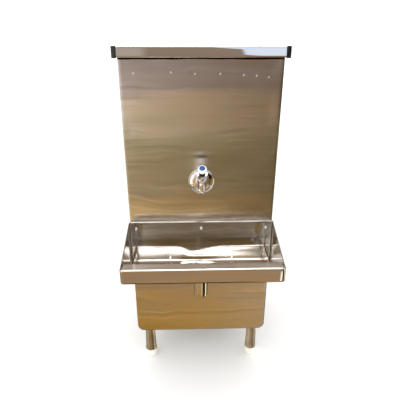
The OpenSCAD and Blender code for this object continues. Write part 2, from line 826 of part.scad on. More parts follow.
// Coil spring: a six-sided wire swept round a helix
spring_low = 56;
module tap_spring() {
  wire = 0.8;
  mean_r = 5.4;
  turns = 5;
  per_turn = 14;
  low = spring_low + wire + 0.1;
  high = button_inner - wire - 0.1;
  n = turns * per_turn;
  ring = 6;
  points = [for (i = [0:n], k = [0:ring - 1])
    let (a = 360 * i / per_turn, b = 360 * k / ring, r = mean_r + wire * cos(b))
    [r * cos(a), r * sin(a), low + (high - low) * i / n + wire * sin(b)]];
  sides = [for (i = [0:n - 1], k = [0:ring - 1])
    let (j = (k + 1) % ring)
    [i * ring + k, i * ring + j, (i + 1) * ring + j, (i + 1) * ring + k]];
  color(chrome_c) on_tap_axis() polyhedron(points, concat(sides,
    [[for (k = [ring - 1:-1:0]) k]], [[for (k = [0:ring - 1]) n * ring + k]]), convexity = 10);
}

// ---- drip tray ----
tray_t = 1.2;
tray_corner = 12;
spout_y = front_y - spout_reach;
waste_hole_r = 18.2;
waste_r = 18;

// The tray seen from above, drawn in by inset: wider at the front, with rounded front corners
module tray_plan(inset) {
  splay = atan(tray_splay / 2 / tray_reach);
  w = tray_w / 2 - inset;
  y = front_y - tray_reach + inset;
  r = tray_corner - inset;
  back = w - tray_splay / 2;
  polygon(concat([[back, front_y], [-back, front_y]],
    arc(r - w, y + r, r, 180 + splay, 270, 6), arc(w - r, y + r, r, 270, 360 - splay, 6)));
}

// The tray's wall in Y and Z: sloping rim at the sides, and the band's height at the front
module tray_wall_side() {
  f = front_y;
  y = front_y - tray_reach;
  low = ledge_z - band_h;
  drop = 12;
  polygon([[f, tray_top], [f, tray_floor], [f - basin_d, tray_floor], [y + tray_corner + ledge_d, low - drop],
    [y + tray_corner * 2, low], [y, low], [y, ledge_z], [y + tray_corner, ledge_z]]);
}

// One folded sheet from the back plate across the basin and up to the ledge, in Y and Z
module tray_sheet() {
  f = front_y;
  y = front_y - tray_reach + ledge_d;
  bed = tray_floor + tray_t;
  under = ledge_z - tray_t / 2;
  polygon([[f, tray_top], [f, tray_floor], [f - basin_d, tray_floor], [y, under],
    [y + tray_t, under], [f - basin_d + tray_t / 2, bed], [f - tray_t, bed], [f - tray_t, tray_top]]);
}

module drip_tray() {
  w = tray_w / 2;
  y = front_y - tray_reach;
  back = w - tray_splay / 2;
  hem_d = 4;
  hem_h = 3;
  color(steel_pale) difference() {
    union() {
      intersection() {
        translate([0, 0, tray_floor - 1]) linear_extrude(tray_top) difference() {
          tray_plan(0);
          tray_plan(tray_t);
          translate([-w, front_y - 1]) square([2 * w, 2]);
        }
        along_x(-w, w) tray_wall_side();
      }
      intersection() {
        translate([0, 0, tray_floor - 1]) linear_extrude(tray_top) tray_plan(tray_t / 2);
        along_x(-w, w) tray_sheet();
      }
      translate([0, 0, ledge_z - tray_t]) linear_extrude(tray_t) intersection() {
        tray_plan(tray_t / 2);
        translate([-w, y]) square([2 * w, ledge_d + tray_t * 1.5]);
      }
      box(-back, back, front_y - hem_d, front_y, tray_top - hem_h / 2, tray_top + hem_h / 2);
    }
    tray_screw_holes();
    translate([spout_x, spout_y, tray_floor - 1]) cylinder(r = waste_hole_r, h = 4);
  }
}

module tray_screws() {
  color(chrome_c) for (p = tray_screw_spots) {
    rod_y(p[0], p[1], front_y - tray_t - 0.5, front_y + 10, screw_r);
    rod_y(p[0], p[1], front_y - tray_t - 2.8, front_y - tray_t, 5);
  }
}

waste_flange_z = tray_floor + tray_t;

module waste_coupling() {
  flange_r = 24;
  tail_l = 38;
  hole_ring_r = 9;
  hole_r = 2.6;
  color(chrome_c) translate([spout_x, spout_y, waste_flange_z]) difference() {
    union() {
      cylinder(r = flange_r, h = 2);
      translate([0, 0, -tail_l]) cylinder(r = waste_r, h = tail_l + 1);
    }
    translate([0, 0, -tail_l - 1]) cylinder(r = waste_r - 2, h = tail_l + 1);
    translate([0, 0, -1]) cylinder(r = hole_r, h = 5);
    for (i = [0:5]) rotate([0, 0, 60 * i]) translate([hole_ring_r, 0, -1]) cylinder(r = hole_r, h = 5);
  }
}

module waste_nut() {
  color(brass_c) translate([spout_x, spout_y, tray_floor - 8]) difference() {
    cylinder(r = 25, h = 8, $fn = 6);
    translate([0, 0, -1]) cylinder(r = waste_r + fit, h = 10);
  }
}

spout_top = 462;
spout_t = 1.5;

module drain_spout() {
  color(steel_brown) translate([spout_x, spout_y, spout_low]) difference() {
    cylinder(r = spout_d / 2, h = spout_top - spout_low);
    translate([0, 0, -1]) cylinder(r = spout_d / 2 - spout_t, h = spout_top - spout_low - 5);
    cylinder(r = waste_r + fit, h = spout_top);
  }
}

// ---- refrigeration ----
suction_stub_y = comp_y + 40;
stub_top = 352;                                    // top of the compressor's suction stub
discharge_x = comp_x + 100;
discharge_z = 240;
line_r = 4;

shell_r = 78;

module compressor() {
  low = pan_top + grommet_h + comp_plate_t;
  high = 335;
  dome = 34;
  color(black_c) difference() {
    union() {
      box(comp_x - 95, comp_x + 95, comp_y - 60, comp_y + 60, low - comp_plate_t, low);
      translate([comp_x, comp_y, 0]) rotate_extrude() polygon(concat(
        [[0, low - 1], [shell_r - 20, low - 1], [shell_r, low + 18]],
        [for (i = [0:8]) let (a = 90 * i / 8) [shell_r * cos(a), high - dome + dome * sin(a)]]));
      translate([comp_x, comp_y, 244]) cylinder(r = shell_r + 4, h = 4);
      rod([comp_x - 2, suction_stub_y, 300], [comp_x - 2, suction_stub_y, stub_top], line_r + 2);
      rod([comp_x + 60, comp_y, discharge_z - 12], [discharge_x, comp_y, discharge_z - 12], line_r + 2);
    }
    at_compressor_feet() translate([0, 0, low - 5]) cylinder(r = bolt_r + 0.1, h = 8);
  }
}

module compressor_grommets() {
  color(black_c) at_compressor_feet() difference() {
    translate([0, 0, pan_top]) cylinder(r = 11, h = grommet_h);
    translate([0, 0, pan_top - 1]) cylinder(r = bolt_r + fit, h = grommet_h + 2);
  }
}

relay_x = -100;
relay_z = 226;                                     // height at which the supply cord enters

module relay_cover() {
  low = relay_z - 20;
  high = relay_z + 16;
  color(black_c) difference() {
    box(relay_x - 24, relay_x + 22, comp_y - 27, comp_y + 27, low, high);
    translate([comp_x, comp_y, low - 1]) cylinder(r = shell_r + 0.1, h = high - low + 2);
    rod([relay_x - 30, comp_y, relay_z], [relay_x - 20, comp_y, relay_z], cord_r + fit);
  }
}

condenser_y = 277;
condenser_z = 200;
condenser_rows = 6;
condenser_pitch = 46;
condenser_half = 150;
condenser_r = 4.75;
fin_low = 178;
fin_high = 452;

module condenser_coil() {
  end_x = condenser_half + 16;
  turn = condenser_pitch / 2;
  color(copper_c) {
    for (i = [0:condenser_rows - 1])
      rod([-condenser_half - 4, condenser_y, condenser_z + i * condenser_pitch],
        [i == 0 || i == condenser_rows - 1 ? end_x : condenser_half + 4, condenser_y,
        condenser_z + i * condenser_pitch], condenser_r);
    for (i = [0:condenser_rows - 2])
      translate([(i % 2 == 0 ? -1 : 1) * (condenser_half + 4), condenser_y,
        condenser_z + (i + 0.5) * condenser_pitch])
        rotate([90, 0, 0]) rotate([0, 0, i % 2 == 0 ? 90 : -90]) bend(turn, condenser_r, 180);
  }
}

module condenser_fins() {
  count = 25;
  fin_t = 0.8;
  step = 2 * (condenser_half - 6) / (count - 1);
  color([0.78, 0.79, 0.80]) for (i = [0:count - 1]) difference() {
    box(-condenser_half + 6 + i * step - fin_t / 2, -condenser_half + 6 + i * step + fin_t / 2,
      condenser_y - 20, condenser_y + 20, fin_low, fin_high);
    for (k = [0:condenser_rows - 1])
      rod_x(condenser_y, condenser_z + k * condenser_pitch, -condenser_half - 1, condenser_half + 1,
        condenser_r);
  }
}

shroud_y = 250;
shroud_top = 460;
shroud_ring = 24;
fan_ring_r = 118;

module fan_shroud() {
  t = 1.2;
  side_x = condenser_half + 2;
  color([0.75, 0.76, 0.77]) difference() {
    union() {
      box(-side_x, side_x, shroud_y, shroud_y + t, pan_top, shroud_top);
      for (s = [-1, 1]) box(s > 0 ? side_x - t : -side_x, s > 0 ? side_x : t - side_x,
        shroud_y, condenser_y + 22, pan_top, shroud_top);
      rod_y(0, fan_z, shroud_y - shroud_ring, shroud_y + t, fan_ring_r + t);
    }
    rod_y(0, fan_z, shroud_y - shroud_ring - 1, shroud_y + 5, fan_ring_r);
    for (k = [0:condenser_rows - 1])
      rod_x(condenser_y, condenser_z + k * condenser_pitch, -side_x - 1, side_x + 1, condenser_r + 0.3);
  }
}

bracket_y = 204;
bracket_t = 3;

module fan_bracket() {
  half = 132;
  h = 12;
  color([0.55, 0.56, 0.58]) difference() {
    union() {
      box(-half, half, bracket_y, bracket_y + bracket_t, fan_z - h, fan_z + h);
      for (s = [-1, 1]) {
        box(s > 0 ? half - bracket_t : -half, s > 0 ? half : bracket_t - half,
          bracket_y, shroud_y, fan_z - h, fan_z + h);
        box(s > 0 ? half - bracket_t : -half - 12, s > 0 ? half + 12 : bracket_t - half,
          shroud_y - bracket_t, shroud_y, fan_z - h, fan_z + h);
      }
    }
    rod_y(0, fan_z, bracket_y - 1, bracket_y + bracket_t + 1, 6);
  }
}

fan_shaft_r = 3;
motor_len = 46;

module fan_motor() {
  color([0.20, 0.21, 0.23]) difference() {
    union() {
      rod_y(0, fan_z, bracket_y - motor_len + 6, bracket_y - 6, 42);
      rod_y(0, fan_z, bracket_y - motor_len, bracket_y, 34);
    }
    rod_y(0, fan_z, bracket_y - motor_len + 4, bracket_y + 1, fan_shaft_r + fit);
  }
}

module fan_shaft() {
  color(chrome_c) rod_y(0, fan_z, bracket_y - motor_len + 5, shroud_y - 5, fan_shaft_r);
}

module fan_blades() {
  blades = 5;
  hub_r = 22;
  hub_l = 18;
  tip_r = fan_ring_r - 4;
  pitch = 22;
  chord = 44;
  blade_t = 1.6;
  color([0.80, 0.81, 0.82]) translate([0, shroud_y - 4, fan_z]) rotate([90, 0, 0]) difference() {
    union() {
      cylinder(r = hub_r, h = hub_l);
      intersection() {
        for (i = [0:blades - 1]) rotate([0, 0, 360 / blades * i])
          translate([hub_r - 4, 0, hub_l / 2]) rotate([pitch, 0, 0])
            translate([0, -chord / 2, -blade_t / 2]) cube([tip_r, chord, blade_t]);
        translate([0, 0, -10]) cylinder(r = tip_r, h = 40);
      }
    }
    translate([0, 0, -1]) cylinder(r = fan_shaft_r, h = hub_l + 2);
  }
}

drier_x = 185;
drier_y = 150;
drier_low = 216;
drier_high = 306;
riser_line_x = 204;
suction_turn_z = 640;                              // height at which the suction line crosses
thin_turn_z = 660;                                 // height at which the thin lines cross
capillary_r = 1.5;

module filter_drier() {
  r = 10;
  neck = 5;
  cone = 10;
  color(copper_c) translate([drier_x, drier_y, 0]) {
    translate([0, 0, drier_low]) cylinder(r1 = neck, r2 = r, h = cone);
    translate([0, 0, drier_low + cone]) cylinder(r = r, h = drier_high - drier_low - 2 * cone);
    translate([0, 0, drier_high - cone]) cylinder(r1 = r, r2 = neck, h = cone);
  }
}

// Suction line, discharge line, liquid line and capillary, each one tube
module refrigerant_lines() {
  end_x = condenser_half + 16;
  top_z = condenser_z + (condenser_rows - 1) * condenser_pitch;
  outlet_z = discharge_z - 12;
  color(copper_c) {
    line_run([[-riser_x, suction_y, coil_drop], [-riser_x, suction_y, suction_turn_z],
      [-riser_x, suction_stub_y, suction_turn_z], [-riser_x, suction_stub_y, stub_top]], line_r);
    line_run([[discharge_x, comp_y, outlet_z], [riser_line_x, comp_y, outlet_z],
      [riser_line_x, comp_y, top_z], [riser_line_x, condenser_y, top_z], [end_x, condenser_y, top_z]],
      line_r);
    line_run([[end_x, condenser_y, condenser_z], [drier_x, condenser_y, condenser_z],
      [drier_x, drier_y, condenser_z], [drier_x, drier_y, drier_low]], line_r);
    line_run([[drier_x, drier_y, drier_high], [drier_x, drier_y, thin_turn_z],
      [riser_x, drier_y, thin_turn_z], [riser_x, coil_y, thin_turn_z], [riser_x, coil_y, coil_drop]],
      capillary_r);
  }
}

// ---- controls and supply ----
thermostat_depth = 26;
knob_bore_r = 3;
sensor_r = 1.3;
bulb_r = 4;
bulb_z = 778;

module thermostat_body() {
  y0 = rear_y - thermostat_depth;
  color([0.85, 0.85, 0.83]) {
    box(thermostat_x - 22, thermostat_x + 22, y0, rear_y, thermostat_z - 16, thermostat_z + 16);
    rod_y(thermostat_x, thermostat_z, rear_y - 1, rear_y + 3, 4.8);
    rod_y(thermostat_x, thermostat_z, rear_y, rear_y + 14, knob_bore_r);
    line_run([[thermostat_x, y0 + 13, thermostat_z + 15], [thermostat_x, y0 + 13, thin_turn_z],
      [thermostat_x, coil_y, thin_turn_z], [thermostat_x, coil_y, bulb_z]], sensor_r);
    rod_x(coil_y, bulb_z, bulb_x - 40, bulb_x + 30, bulb_r);
  }
}

module thermostat_knob() {
  low = 4;
  h = 16;
  color(black_c) translate([thermostat_x, rear_y + low, thermostat_z]) rotate([-90, 0, 0]) difference() {
    union() {
      cylinder(r = 17, h = 4);
      translate([0, 0, 3]) cylinder(r1 = 14, r2 = 12.5, h = h - 3);
    }
    translate([0, 0, -1]) cylinder(r = knob_bore_r + fit, h = 12);
    translate([0, -10, h]) cube([1.6, 8, 2.4], center = true);
  }
}

cord_r = 3.75;
hank_runs = 4;
hank_step = 11;
hank_low = 262;
hank_high = 420;

// Supply cord: from the relay cover through its bush, then folded up behind the cabinet
module power_cord() {
  turn = 10;
  y = rear_y + 14;
  half = hank_step / 2;
  last_x = cord_x - (hank_runs - 1) * hank_step;
  plug_top = 238;
  plug_neck = 222;
  plug_low = 186;
  pin_low = 170;
  earth_low = 164;
  color(black_c) {
    line_run([[relay_x - 21, comp_y, relay_z], [cord_x, comp_y, relay_z], [cord_x, mid_y, cord_z],
      [cord_x, y - turn, cord_z]], cord_r);
    rod_y(cord_x, cord_z, rear_y - 3, rear_y + 3, cord_bush_r);
    rod_y(cord_x, cord_z, rear_y - 3, rear_y, cord_bush_r + 2);
    translate([cord_x, y - turn, cord_z + turn]) rotate([90, 0, 90]) rotate([0, 0, -90])
      bend(turn, cord_r, 90);
    rod([cord_x, y, cord_z + turn], [cord_x, y, hank_high], cord_r);
    for (i = [1:hank_runs - 1])
      rod([cord_x - i * hank_step, y, i == hank_runs - 1 ? plug_top : hank_low],
        [cord_x - i * hank_step, y, hank_high], cord_r);
    for (i = [0:hank_runs - 2])
      translate([cord_x - (i + 0.5) * hank_step, y, i % 2 == 0 ? hank_high : hank_low])
        rotate([90, 0, 0]) rotate([0, 0, i % 2 == 0 ? 0 : 180]) bend(half, cord_r, 180);
    translate([last_x, y, 0]) {
      translate([0, 0, plug_neck]) cylinder(r1 = 9, r2 = 6, h = plug_top - plug_neck + 1);
      translate([0, 0, plug_low]) cylinder(r = 12, h = plug_neck - plug_low + 1);
      for (s = [-1, 1]) translate([s * 6, 4, pin_low]) cylinder(r = 2.5, h = plug_low - pin_low + 2);
      translate([0, -6, earth_low]) cylinder(r = 3.2, h = plug_low - earth_low + 2);
    }
  }
}

front_panel();
side_panel_left();
side_panel_right();
rear_panel_upper();
rear_panel_lower();
base_pan();
support_frame();
tank_shelf();
panel_screws();
leg_tubes();
frame_bolts();
foot_front_left();
foot_front_right();
foot_rear_left();
foot_rear_right();
lid_shell();
lid_insulation();
lid_liner();
lid_corner_caps();
lid_gasket();
tank();
tank_insulation();
evaporator_coil();
inlet_pipe();
float_valve_body();
float_plunger();
float_pin();
float_arm();
float_ball();
tank_locknuts();
tank_drain_pipe();
tank_drain_plug();
tap_flange();
tap_body();
tap_bonnet();
tap_button();
tap_index();
tap_spring();
tap_spindle();
tap_seat_washer();
drip_tray();
tray_screws();
waste_coupling();
waste_nut();
drain_spout();
compressor();
compressor_grommets();
relay_cover();
condenser_coil();
condenser_fins();
fan_shroud();
fan_bracket();
fan_motor();
fan_shaft();
fan_blades();
filter_drier();
refrigerant_lines();
thermostat_body();
thermostat_knob();
power_cord();
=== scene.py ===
"""Looks of a free-standing steel drinking-water cooler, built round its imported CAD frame.

Metres, in the frame of the CAD: +Z up, front towards -Y, +X to the right seen from the front.
"""

import json
import math

import bmesh
import bpy
from mathutils import Matrix, Vector, noise


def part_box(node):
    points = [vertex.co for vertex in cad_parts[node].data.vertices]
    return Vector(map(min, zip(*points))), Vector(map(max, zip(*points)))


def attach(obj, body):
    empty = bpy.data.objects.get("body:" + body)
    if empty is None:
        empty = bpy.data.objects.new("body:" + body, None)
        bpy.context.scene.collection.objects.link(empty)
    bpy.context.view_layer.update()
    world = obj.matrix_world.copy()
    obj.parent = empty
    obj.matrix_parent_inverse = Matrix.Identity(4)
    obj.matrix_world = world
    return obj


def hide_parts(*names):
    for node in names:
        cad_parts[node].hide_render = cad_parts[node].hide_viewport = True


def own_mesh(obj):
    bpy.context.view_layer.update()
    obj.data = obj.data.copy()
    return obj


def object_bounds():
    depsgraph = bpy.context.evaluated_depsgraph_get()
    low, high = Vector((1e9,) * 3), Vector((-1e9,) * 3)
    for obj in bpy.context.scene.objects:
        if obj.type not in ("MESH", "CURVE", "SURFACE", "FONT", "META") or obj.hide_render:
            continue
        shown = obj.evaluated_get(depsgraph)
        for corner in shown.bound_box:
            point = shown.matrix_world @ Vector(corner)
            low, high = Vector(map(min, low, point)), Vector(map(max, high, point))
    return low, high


MM = 0.001


# ---------------------------------------------------------------- shader helpers


def linear(code):
    """A colour written as six hexadecimal digits, in the renderer's linear light."""
    channels = [int(code[i : i + 2], 16) / 255 for i in (0, 2, 4)]
    return [c / 12.92 if c <= 0.04045 else ((c + 0.055) / 1.055) ** 2.4 for c in channels]


def rgba(code, gain=1.0):
    return [c * gain for c in linear(code)] + [1.0]


class Nodes:
    """Short forms for the shader nodes used in this file."""

    def __init__(self, tree):
        self.tree = tree

    def add(self, kind, **settings):
        node = self.tree.nodes.new("ShaderNode" + kind)
        for key, value in settings.items():
            setattr(node, key, value)
        return node

    def put(self, socket, value):
        if isinstance(value, bpy.types.NodeSocket):
            self.tree.links.new(value, socket)
        else:
            socket.default_value = value

    def math(self, operation, *values):
        node = self.add("Math", operation=operation)
        for socket, value in zip(node.inputs, values):
            self.put(socket, value)
        return node.outputs[0]

    def scaled(self, vector, scale):
        node = self.add("VectorMath", operation="MULTIPLY")
        self.put(node.inputs[0], vector)
        self.put(node.inputs[1], scale)
        return node.outputs[0]

    def noise(self, vector, scale=(1, 1, 1), detail=2.0):
        """Soft noise from 0 to 1 whose features are about 1 / scale metres long on each axis."""
        node = self.add("TexNoise")
        self.put(node.inputs["Vector"], self.scaled(vector, scale))
        self.put(node.inputs["Scale"], 1.0)
        self.put(node.inputs["Detail"], detail)
        return node.outputs[0]

    def cells(self, vector, scale, feature="F1"):
        node = self.add("TexVoronoi", feature=feature)
        self.put(node.inputs["Vector"], self.scaled(vector, scale))
        self.put(node.inputs["Scale"], 1.0)
        return node.outputs

    def mix(self, factor, a, b, blend="MIX"):
        node = self.add("Mix", data_type="RGBA", blend_type=blend)
        self.put(node.inputs[0], factor)
        self.put(node.inputs[6], a)
        self.put(node.inputs[7], b)
        return node.outputs[2]

    def spread(self, value, low, high, to_low=0.0, to_high=1.0):
        """Maps value from low..high to to_low..to_high, held at both ends."""
        node = self.add("MapRange", interpolation_type="SMOOTHSTEP")
        for socket, number in zip(node.inputs, (value, low, high, to_low, to_high)):
            self.put(socket, number)
        return node.outputs[0]

    def ramp(self, factor, stops):
        """A colour ramp through (place, rgba) stops in rising order."""
        node = self.add("ValToRGB")
        elements = node.color_ramp.elements
        while len(elements) < len(stops):
            elements.new(1.0)
        for element, (place, colour) in zip(elements, stops):
            element.position = place
            element.color = colour
        self.put(node.inputs[0], factor)
        return node.outputs[0]

    def bump(self, height, distance, normal=None):
        node = self.add("Bump")
        self.put(node.inputs["Height"], height)
        self.put(node.inputs["Distance"], distance)
        self.put(node.inputs["Strength"], 1.0)
        if normal:
            self.put(node.inputs["Normal"], normal)
        return node.outputs[0]


def new_material(name):
    """(material, its nodes, its Principled shader, object coordinates), ready to be wired."""
    material = bpy.data.materials.new(name)
    material.use_nodes = True
    nodes = Nodes(material.node_tree)
    shader = material.node_tree.nodes["Principled BSDF"]
    where = nodes.add("TexCoord").outputs["Object"]
    return material, nodes, shader, where


def painted_reflection_streaks(n, where, colour, strength):
    """The colour with wandering bright and dull streaks, in patches: painted reflection streaks, like those a
    wavy sheet mirrors.
    """
    drift = n.add("CombineXYZ")
    n.put(drift.inputs[2], n.math("MULTIPLY", n.noise(where, (4.5, 4.5, 7), 2.0), 0.09))
    lifted = n.add("VectorMath", operation="ADD")
    n.put(lifted.inputs[0], where)
    n.put(lifted.inputs[1], drift.outputs[0])
    streak = n.noise(lifted.outputs[0], (1.6, 1.6, 62), 4.0)
    patch = n.spread(n.noise(where, (3.5, 3.5, 9), 2.0), 0.38, 0.62)
    bright = n.math("MULTIPLY", n.spread(streak, 0.52, 0.68, 0, strength), patch)
    dull = n.math("MULTIPLY", n.spread(streak, 0.48, 0.34, 0, strength), patch)
    return n.mix(dull, n.mix(bright, colour, rgba("FFFFFF")), rgba("8F867B"))


def painted_lid_shadow(n, where, colour, height):
    """The colour darkened from about the given height upwards, along a ragged edge: painted shadow under the
    lid's skirt.
    """
    split = n.add("SeparateXYZ")
    n.put(split.inputs[0], where)
    ragged = n.math("MULTIPLY_ADD", n.noise(where, (9, 9, 0), 2.0), 8 * MM, split.outputs[2])
    lid_shadow_mask = n.spread(ragged, height + 4 * MM, height + 6 * MM)
    return n.mix(lid_shadow_mask, colour, rgba("15110D"))


def steel(
    name, dark, light, roughness, grain,
    scratch=4e-6, smear=0.10, reflection_streaks=0.0, stretch=0.0, lid_shadow_z=None, welds=(),
):
    """Brushed or polished metal. Grain is how many brush marks there are per metre on each axis.

    Smear is how much the roughness varies, the streak strength how strong the painted reflection streaks in
    the colour are, and stretch how far reflections widen sideways. The shadow height is where painted shadow
    under the lid starts to darken the sheet.
    Welds are places where a spot weld behind the sheet dulls it, with a painted highlight that whitens its
    colour."""
    material, n, shader, where = new_material(name)
    lines = n.noise(where, grain, 3.0)
    bands = n.noise(where, [g / 7 for g in grain], 2.0)
    clouds = n.noise(where, (7, 7, 7), 3.0)
    tone = n.math("ADD", n.math("MULTIPLY", lines, 0.5), n.math("MULTIPLY", bands, 0.5))
    colour = n.mix(n.spread(tone, 0.3, 0.7), rgba(dark), rgba(light))
    # painted reflection streaks in the colour
    if reflection_streaks:
        colour = painted_reflection_streaks(n, where, colour, reflection_streaks)
    # painted shadow: the sheet darkens just under the lid's skirt
    if lid_shadow_z:
        colour = painted_lid_shadow(n, where, colour, lid_shadow_z)
    n.put(shader.inputs["Metallic"], 1.0)
    rough = n.math("MULTIPLY_ADD", n.spread(clouds, 0.35, 0.75), smear, roughness)
    rough = n.math("MULTIPLY_ADD", bands, smear, rough)
    for spot in welds:
        reach = n.add("VectorMath", operation="DISTANCE")
        n.put(reach.inputs[0], where)
        n.put(reach.inputs[1], spot)
        weld_dull_and_glint = n.spread(reach.outputs["Value"], 1.5 * MM, 4 * MM, 1, 0)
        rough = n.math("MULTIPLY_ADD", weld_dull_and_glint, 0.45, rough)
        stretch = n.math("MULTIPLY", n.math("SUBTRACT", 1.0, weld_dull_and_glint), stretch)
        # painted highlight: the weld spot's colour is whitened so that it shows as a bright dot
        colour = n.mix(weld_dull_and_glint, colour, rgba("FFFFFF"))
    n.put(shader.inputs["Base Color"], colour)
    n.put(shader.inputs["Roughness"], rough)
    n.put(shader.inputs["Anisotropic"], stretch)
    n.put(shader.inputs["Tangent"], n.add("Tangent", direction_type="RADIAL", axis="Z").outputs[0])
    n.put(shader.inputs["Normal"], n.bump(tone, scratch))
    return material


def zinc(name):
    """Galvanised sheet with its large frosted crystals."""
    material, n, shader, where = new_material(name)
    crystals = n.cells(where, (55, 55, 55))
    shade = n.math("FRACT", n.math("MULTIPLY", n.noise(crystals["Position"], (9, 9, 9)), 7.0))
    fine = n.noise(where, (240, 240, 240), 2.0)
    n.put(shader.inputs["Base Color"], n.mix(shade, rgba("9EA3A5"), rgba("C3C7C8")))
    n.put(shader.inputs["Metallic"], 0.95)
    n.put(shader.inputs["Roughness"], n.math("MULTIPLY_ADD", shade, 0.18, 0.32))
    n.put(shader.inputs["Normal"], n.bump(fine, 8e-6))
    return material


def tarnished(name, clean, stained, roughness):
    """Brass or copper, bright with brown stains."""
    material, n, shader, where = new_material(name)
    stains = n.noise(where, (28, 28, 28), 5.0)
    fine = n.noise(where, (900, 900, 900), 2.0)
    n.put(shader.inputs["Base Color"], n.mix(n.spread(stains, 0.45, 0.72), rgba(clean), rgba(stained)))
    n.put(shader.inputs["Metallic"], 1.0)
    n.put(shader.inputs["Roughness"], n.math("MULTIPLY_ADD", stains, 0.25, roughness))
    n.put(shader.inputs["Normal"], n.bump(fine, 5e-6))
    return material


def painted(name, colour, roughness, peel=2e-5):
    """Sprayed paint with its fine orange-peel surface and a little dust on top."""
    material, n, shader, where = new_material(name)
    skin = n.noise(where, (420, 420, 420), 2.0)
    dust = n.noise(where, (14, 14, 14), 4.0)
    film = n.spread(dust, 0.5, 0.8, 0, 0.12)
    n.put(shader.inputs["Base Color"], n.mix(film, rgba(colour), rgba("A79F90")))
    n.put(shader.inputs["Roughness"], n.math("MULTIPLY_ADD", dust, 0.2, roughness))
    n.put(shader.inputs["Normal"], n.bump(skin, peel))
    return material


def moulded(name, colour, worn, roughness, softness=0.0, shine=0.5):
    """Moulded plastic: a fine surface texture, faint flow marks and scuffs."""
    material, n, shader, where = new_material(name)
    texture = n.noise(where, (1500, 1500, 1500), 2.0)
    flow = n.noise(where, (60, 60, 25), 3.0)
    scuffs = n.noise(where, (180, 40, 180), 4.0)
    n.put(shader.inputs["Base Color"], n.mix(n.spread(flow, 0.45, 0.8, 0, 0.6), rgba(colour), rgba(worn)))
    n.put(shader.inputs["Roughness"], n.math("MULTIPLY_ADD", n.spread(scuffs, 0.5, 0.8), 0.2, roughness))
    n.put(shader.inputs["Specular IOR Level"], shine)
    n.put(shader.inputs["Subsurface Weight"], softness)
    n.put(shader.inputs["Subsurface Radius"], (0.004, 0.003, 0.002))
    n.put(shader.inputs["Normal"], n.bump(texture, 6e-6))
    return material


def foam(name):
    """Blown insulation foam: pale yellow skin full of small bubbles."""
    material, n, shader, where = new_material(name)
    bubbles = n.cells(where, (210, 210, 210))["Distance"]
    lumps = n.noise(where, (30, 30, 30), 4.0)
    n.put(shader.inputs["Base Color"], n.mix(lumps, rgba("E4C98A"), rgba("F3E3B4")))
    n.put(shader.inputs["Roughness"], 0.85)
    n.put(shader.inputs["Subsurface Weight"], 0.15)
    n.put(shader.inputs["Normal"], n.bump(bubbles, 0.0008, n.bump(lumps, 0.002)))
    return material


def make_materials():
    """One material for each of the record's slots, by slot name, and the variants of the steel."""
    along = (3, 3, 330)
    polished = (4, 160, 300)
    plain, bright = ("CEC9C2", "D3CEC8"), ("D2CEC9", "D8D5D1")
    # the front sheet gets painted reflection streaks, painted shadow under the lid and welds with painted
    # highlights
    front = dict(stretch=0.95, reflection_streaks=0.26, lid_shadow_z=LID_SHADOW_Z, welds=WELD_SPOTS)
    return {
        "stainless": steel("stainless", *plain, 0.15, along, 3e-7, 0.04, reflection_streaks=0.2),
        "front_steel": steel("front_steel", *plain, 0.17, along, 3e-7, 0.04, **front),
        "bright_steel": steel("bright_steel", *bright, 0.035, polished, 2e-7, 0.02),
        "tray_steel": steel("tray_steel", *bright, 0.06, polished, 2e-7, 0.03, reflection_streaks=0.3),
        "lid_steel": steel("lid_steel", "D6D2CD", "DCD9D5", 0.02, (3, 3, 160), 2e-7, 0.015),
        "leg_steel": steel("leg_steel", "A79F93", "D8D3CA", 0.2, (60, 60, 25), 2e-5, 0.2),
        "spout_steel": steel("spout_steel", "D8D4CE", "E2DFDA", 0.05, (500, 500, 3), 3e-7, 0.02),
        "sealant": moulded("sealant", "35312C", "4A453E", 0.5),
        "galvanised": zinc("galvanised"),
        "painted_steel": painted("painted_steel", "131313", 0.28),
        "grey_paint": painted("grey_paint", "6B6E72", 0.4),
        "chrome": steel("chrome", "E6E5E3", "F0EFED", 0.03, (90, 90, 90), 4e-7, 0.03),
        "brass": tarnished("brass", "D0AE62", "8A6B34", 0.2),
        "copper": tarnished("copper", "D08A63", "7A4630", 0.22),
        "aluminium": steel("aluminium", "C4C6C8", "DADCDD", 0.24, (300, 300, 30)),
        "foam": foam("foam"),
        "white_plastic": moulded("white_plastic", "F6F4EA", "ECE7D6", 0.28, 0.2),
        "blue_plastic": moulded("blue_plastic", "1B4F8F", "143F74", 0.2, shine=0.15),
        "black_plastic": moulded("black_plastic", "0D0D0E", "1C1C1D", 0.34),
        "black_rubber": moulded("black_rubber", "0B0B0B", "191817", 0.6),
    }


# ---------------------------------------------------------------- mesh helpers


def arc(cx, cy, radius, start, end, count):
    """Points (x, y) on an arc from start to end degrees, both included."""
    points = []
    for i in range(count + 1):
        angle = math.radians(start + (end - start) * i / count)
        points.append((cx + radius * math.cos(angle), cy + radius * math.sin(angle)))
    return points


def levels(low, high, step, fixed=()):
    """Values from low to high, about step apart, that include each fixed value between them."""
    marks = sorted({low, high, *[f for f in fixed if low < f < high]})
    values = [low]
    for a, b in zip(marks, marks[1:]):
        count = max(1, round((b - a) / step))
        values += [a + (b - a) * (i + 1) / count for i in range(count)]
    return values


def ripple(u, v, seed):
    """The gentle unevenness of thin sheet, about -0.5 to 0.5, longer across than along the height."""
    broad = noise.noise(Vector((u * 2.2, v * 6.5, seed)))
    small = noise.noise(Vector((u * 6.0, v * 17.0, seed + 7.3)))
    fine = noise.noise(Vector((u * 5.0, v * 36.0, seed + 2.9)))
    return broad + 0.3 * small + 0.07 * fine


def fade(distance, width):
    """0 at an edge, rising smoothly to 1 at width from it."""
    t = min(1.0, max(0.0, distance / width))
    return t * t * (3 - 2 * t)


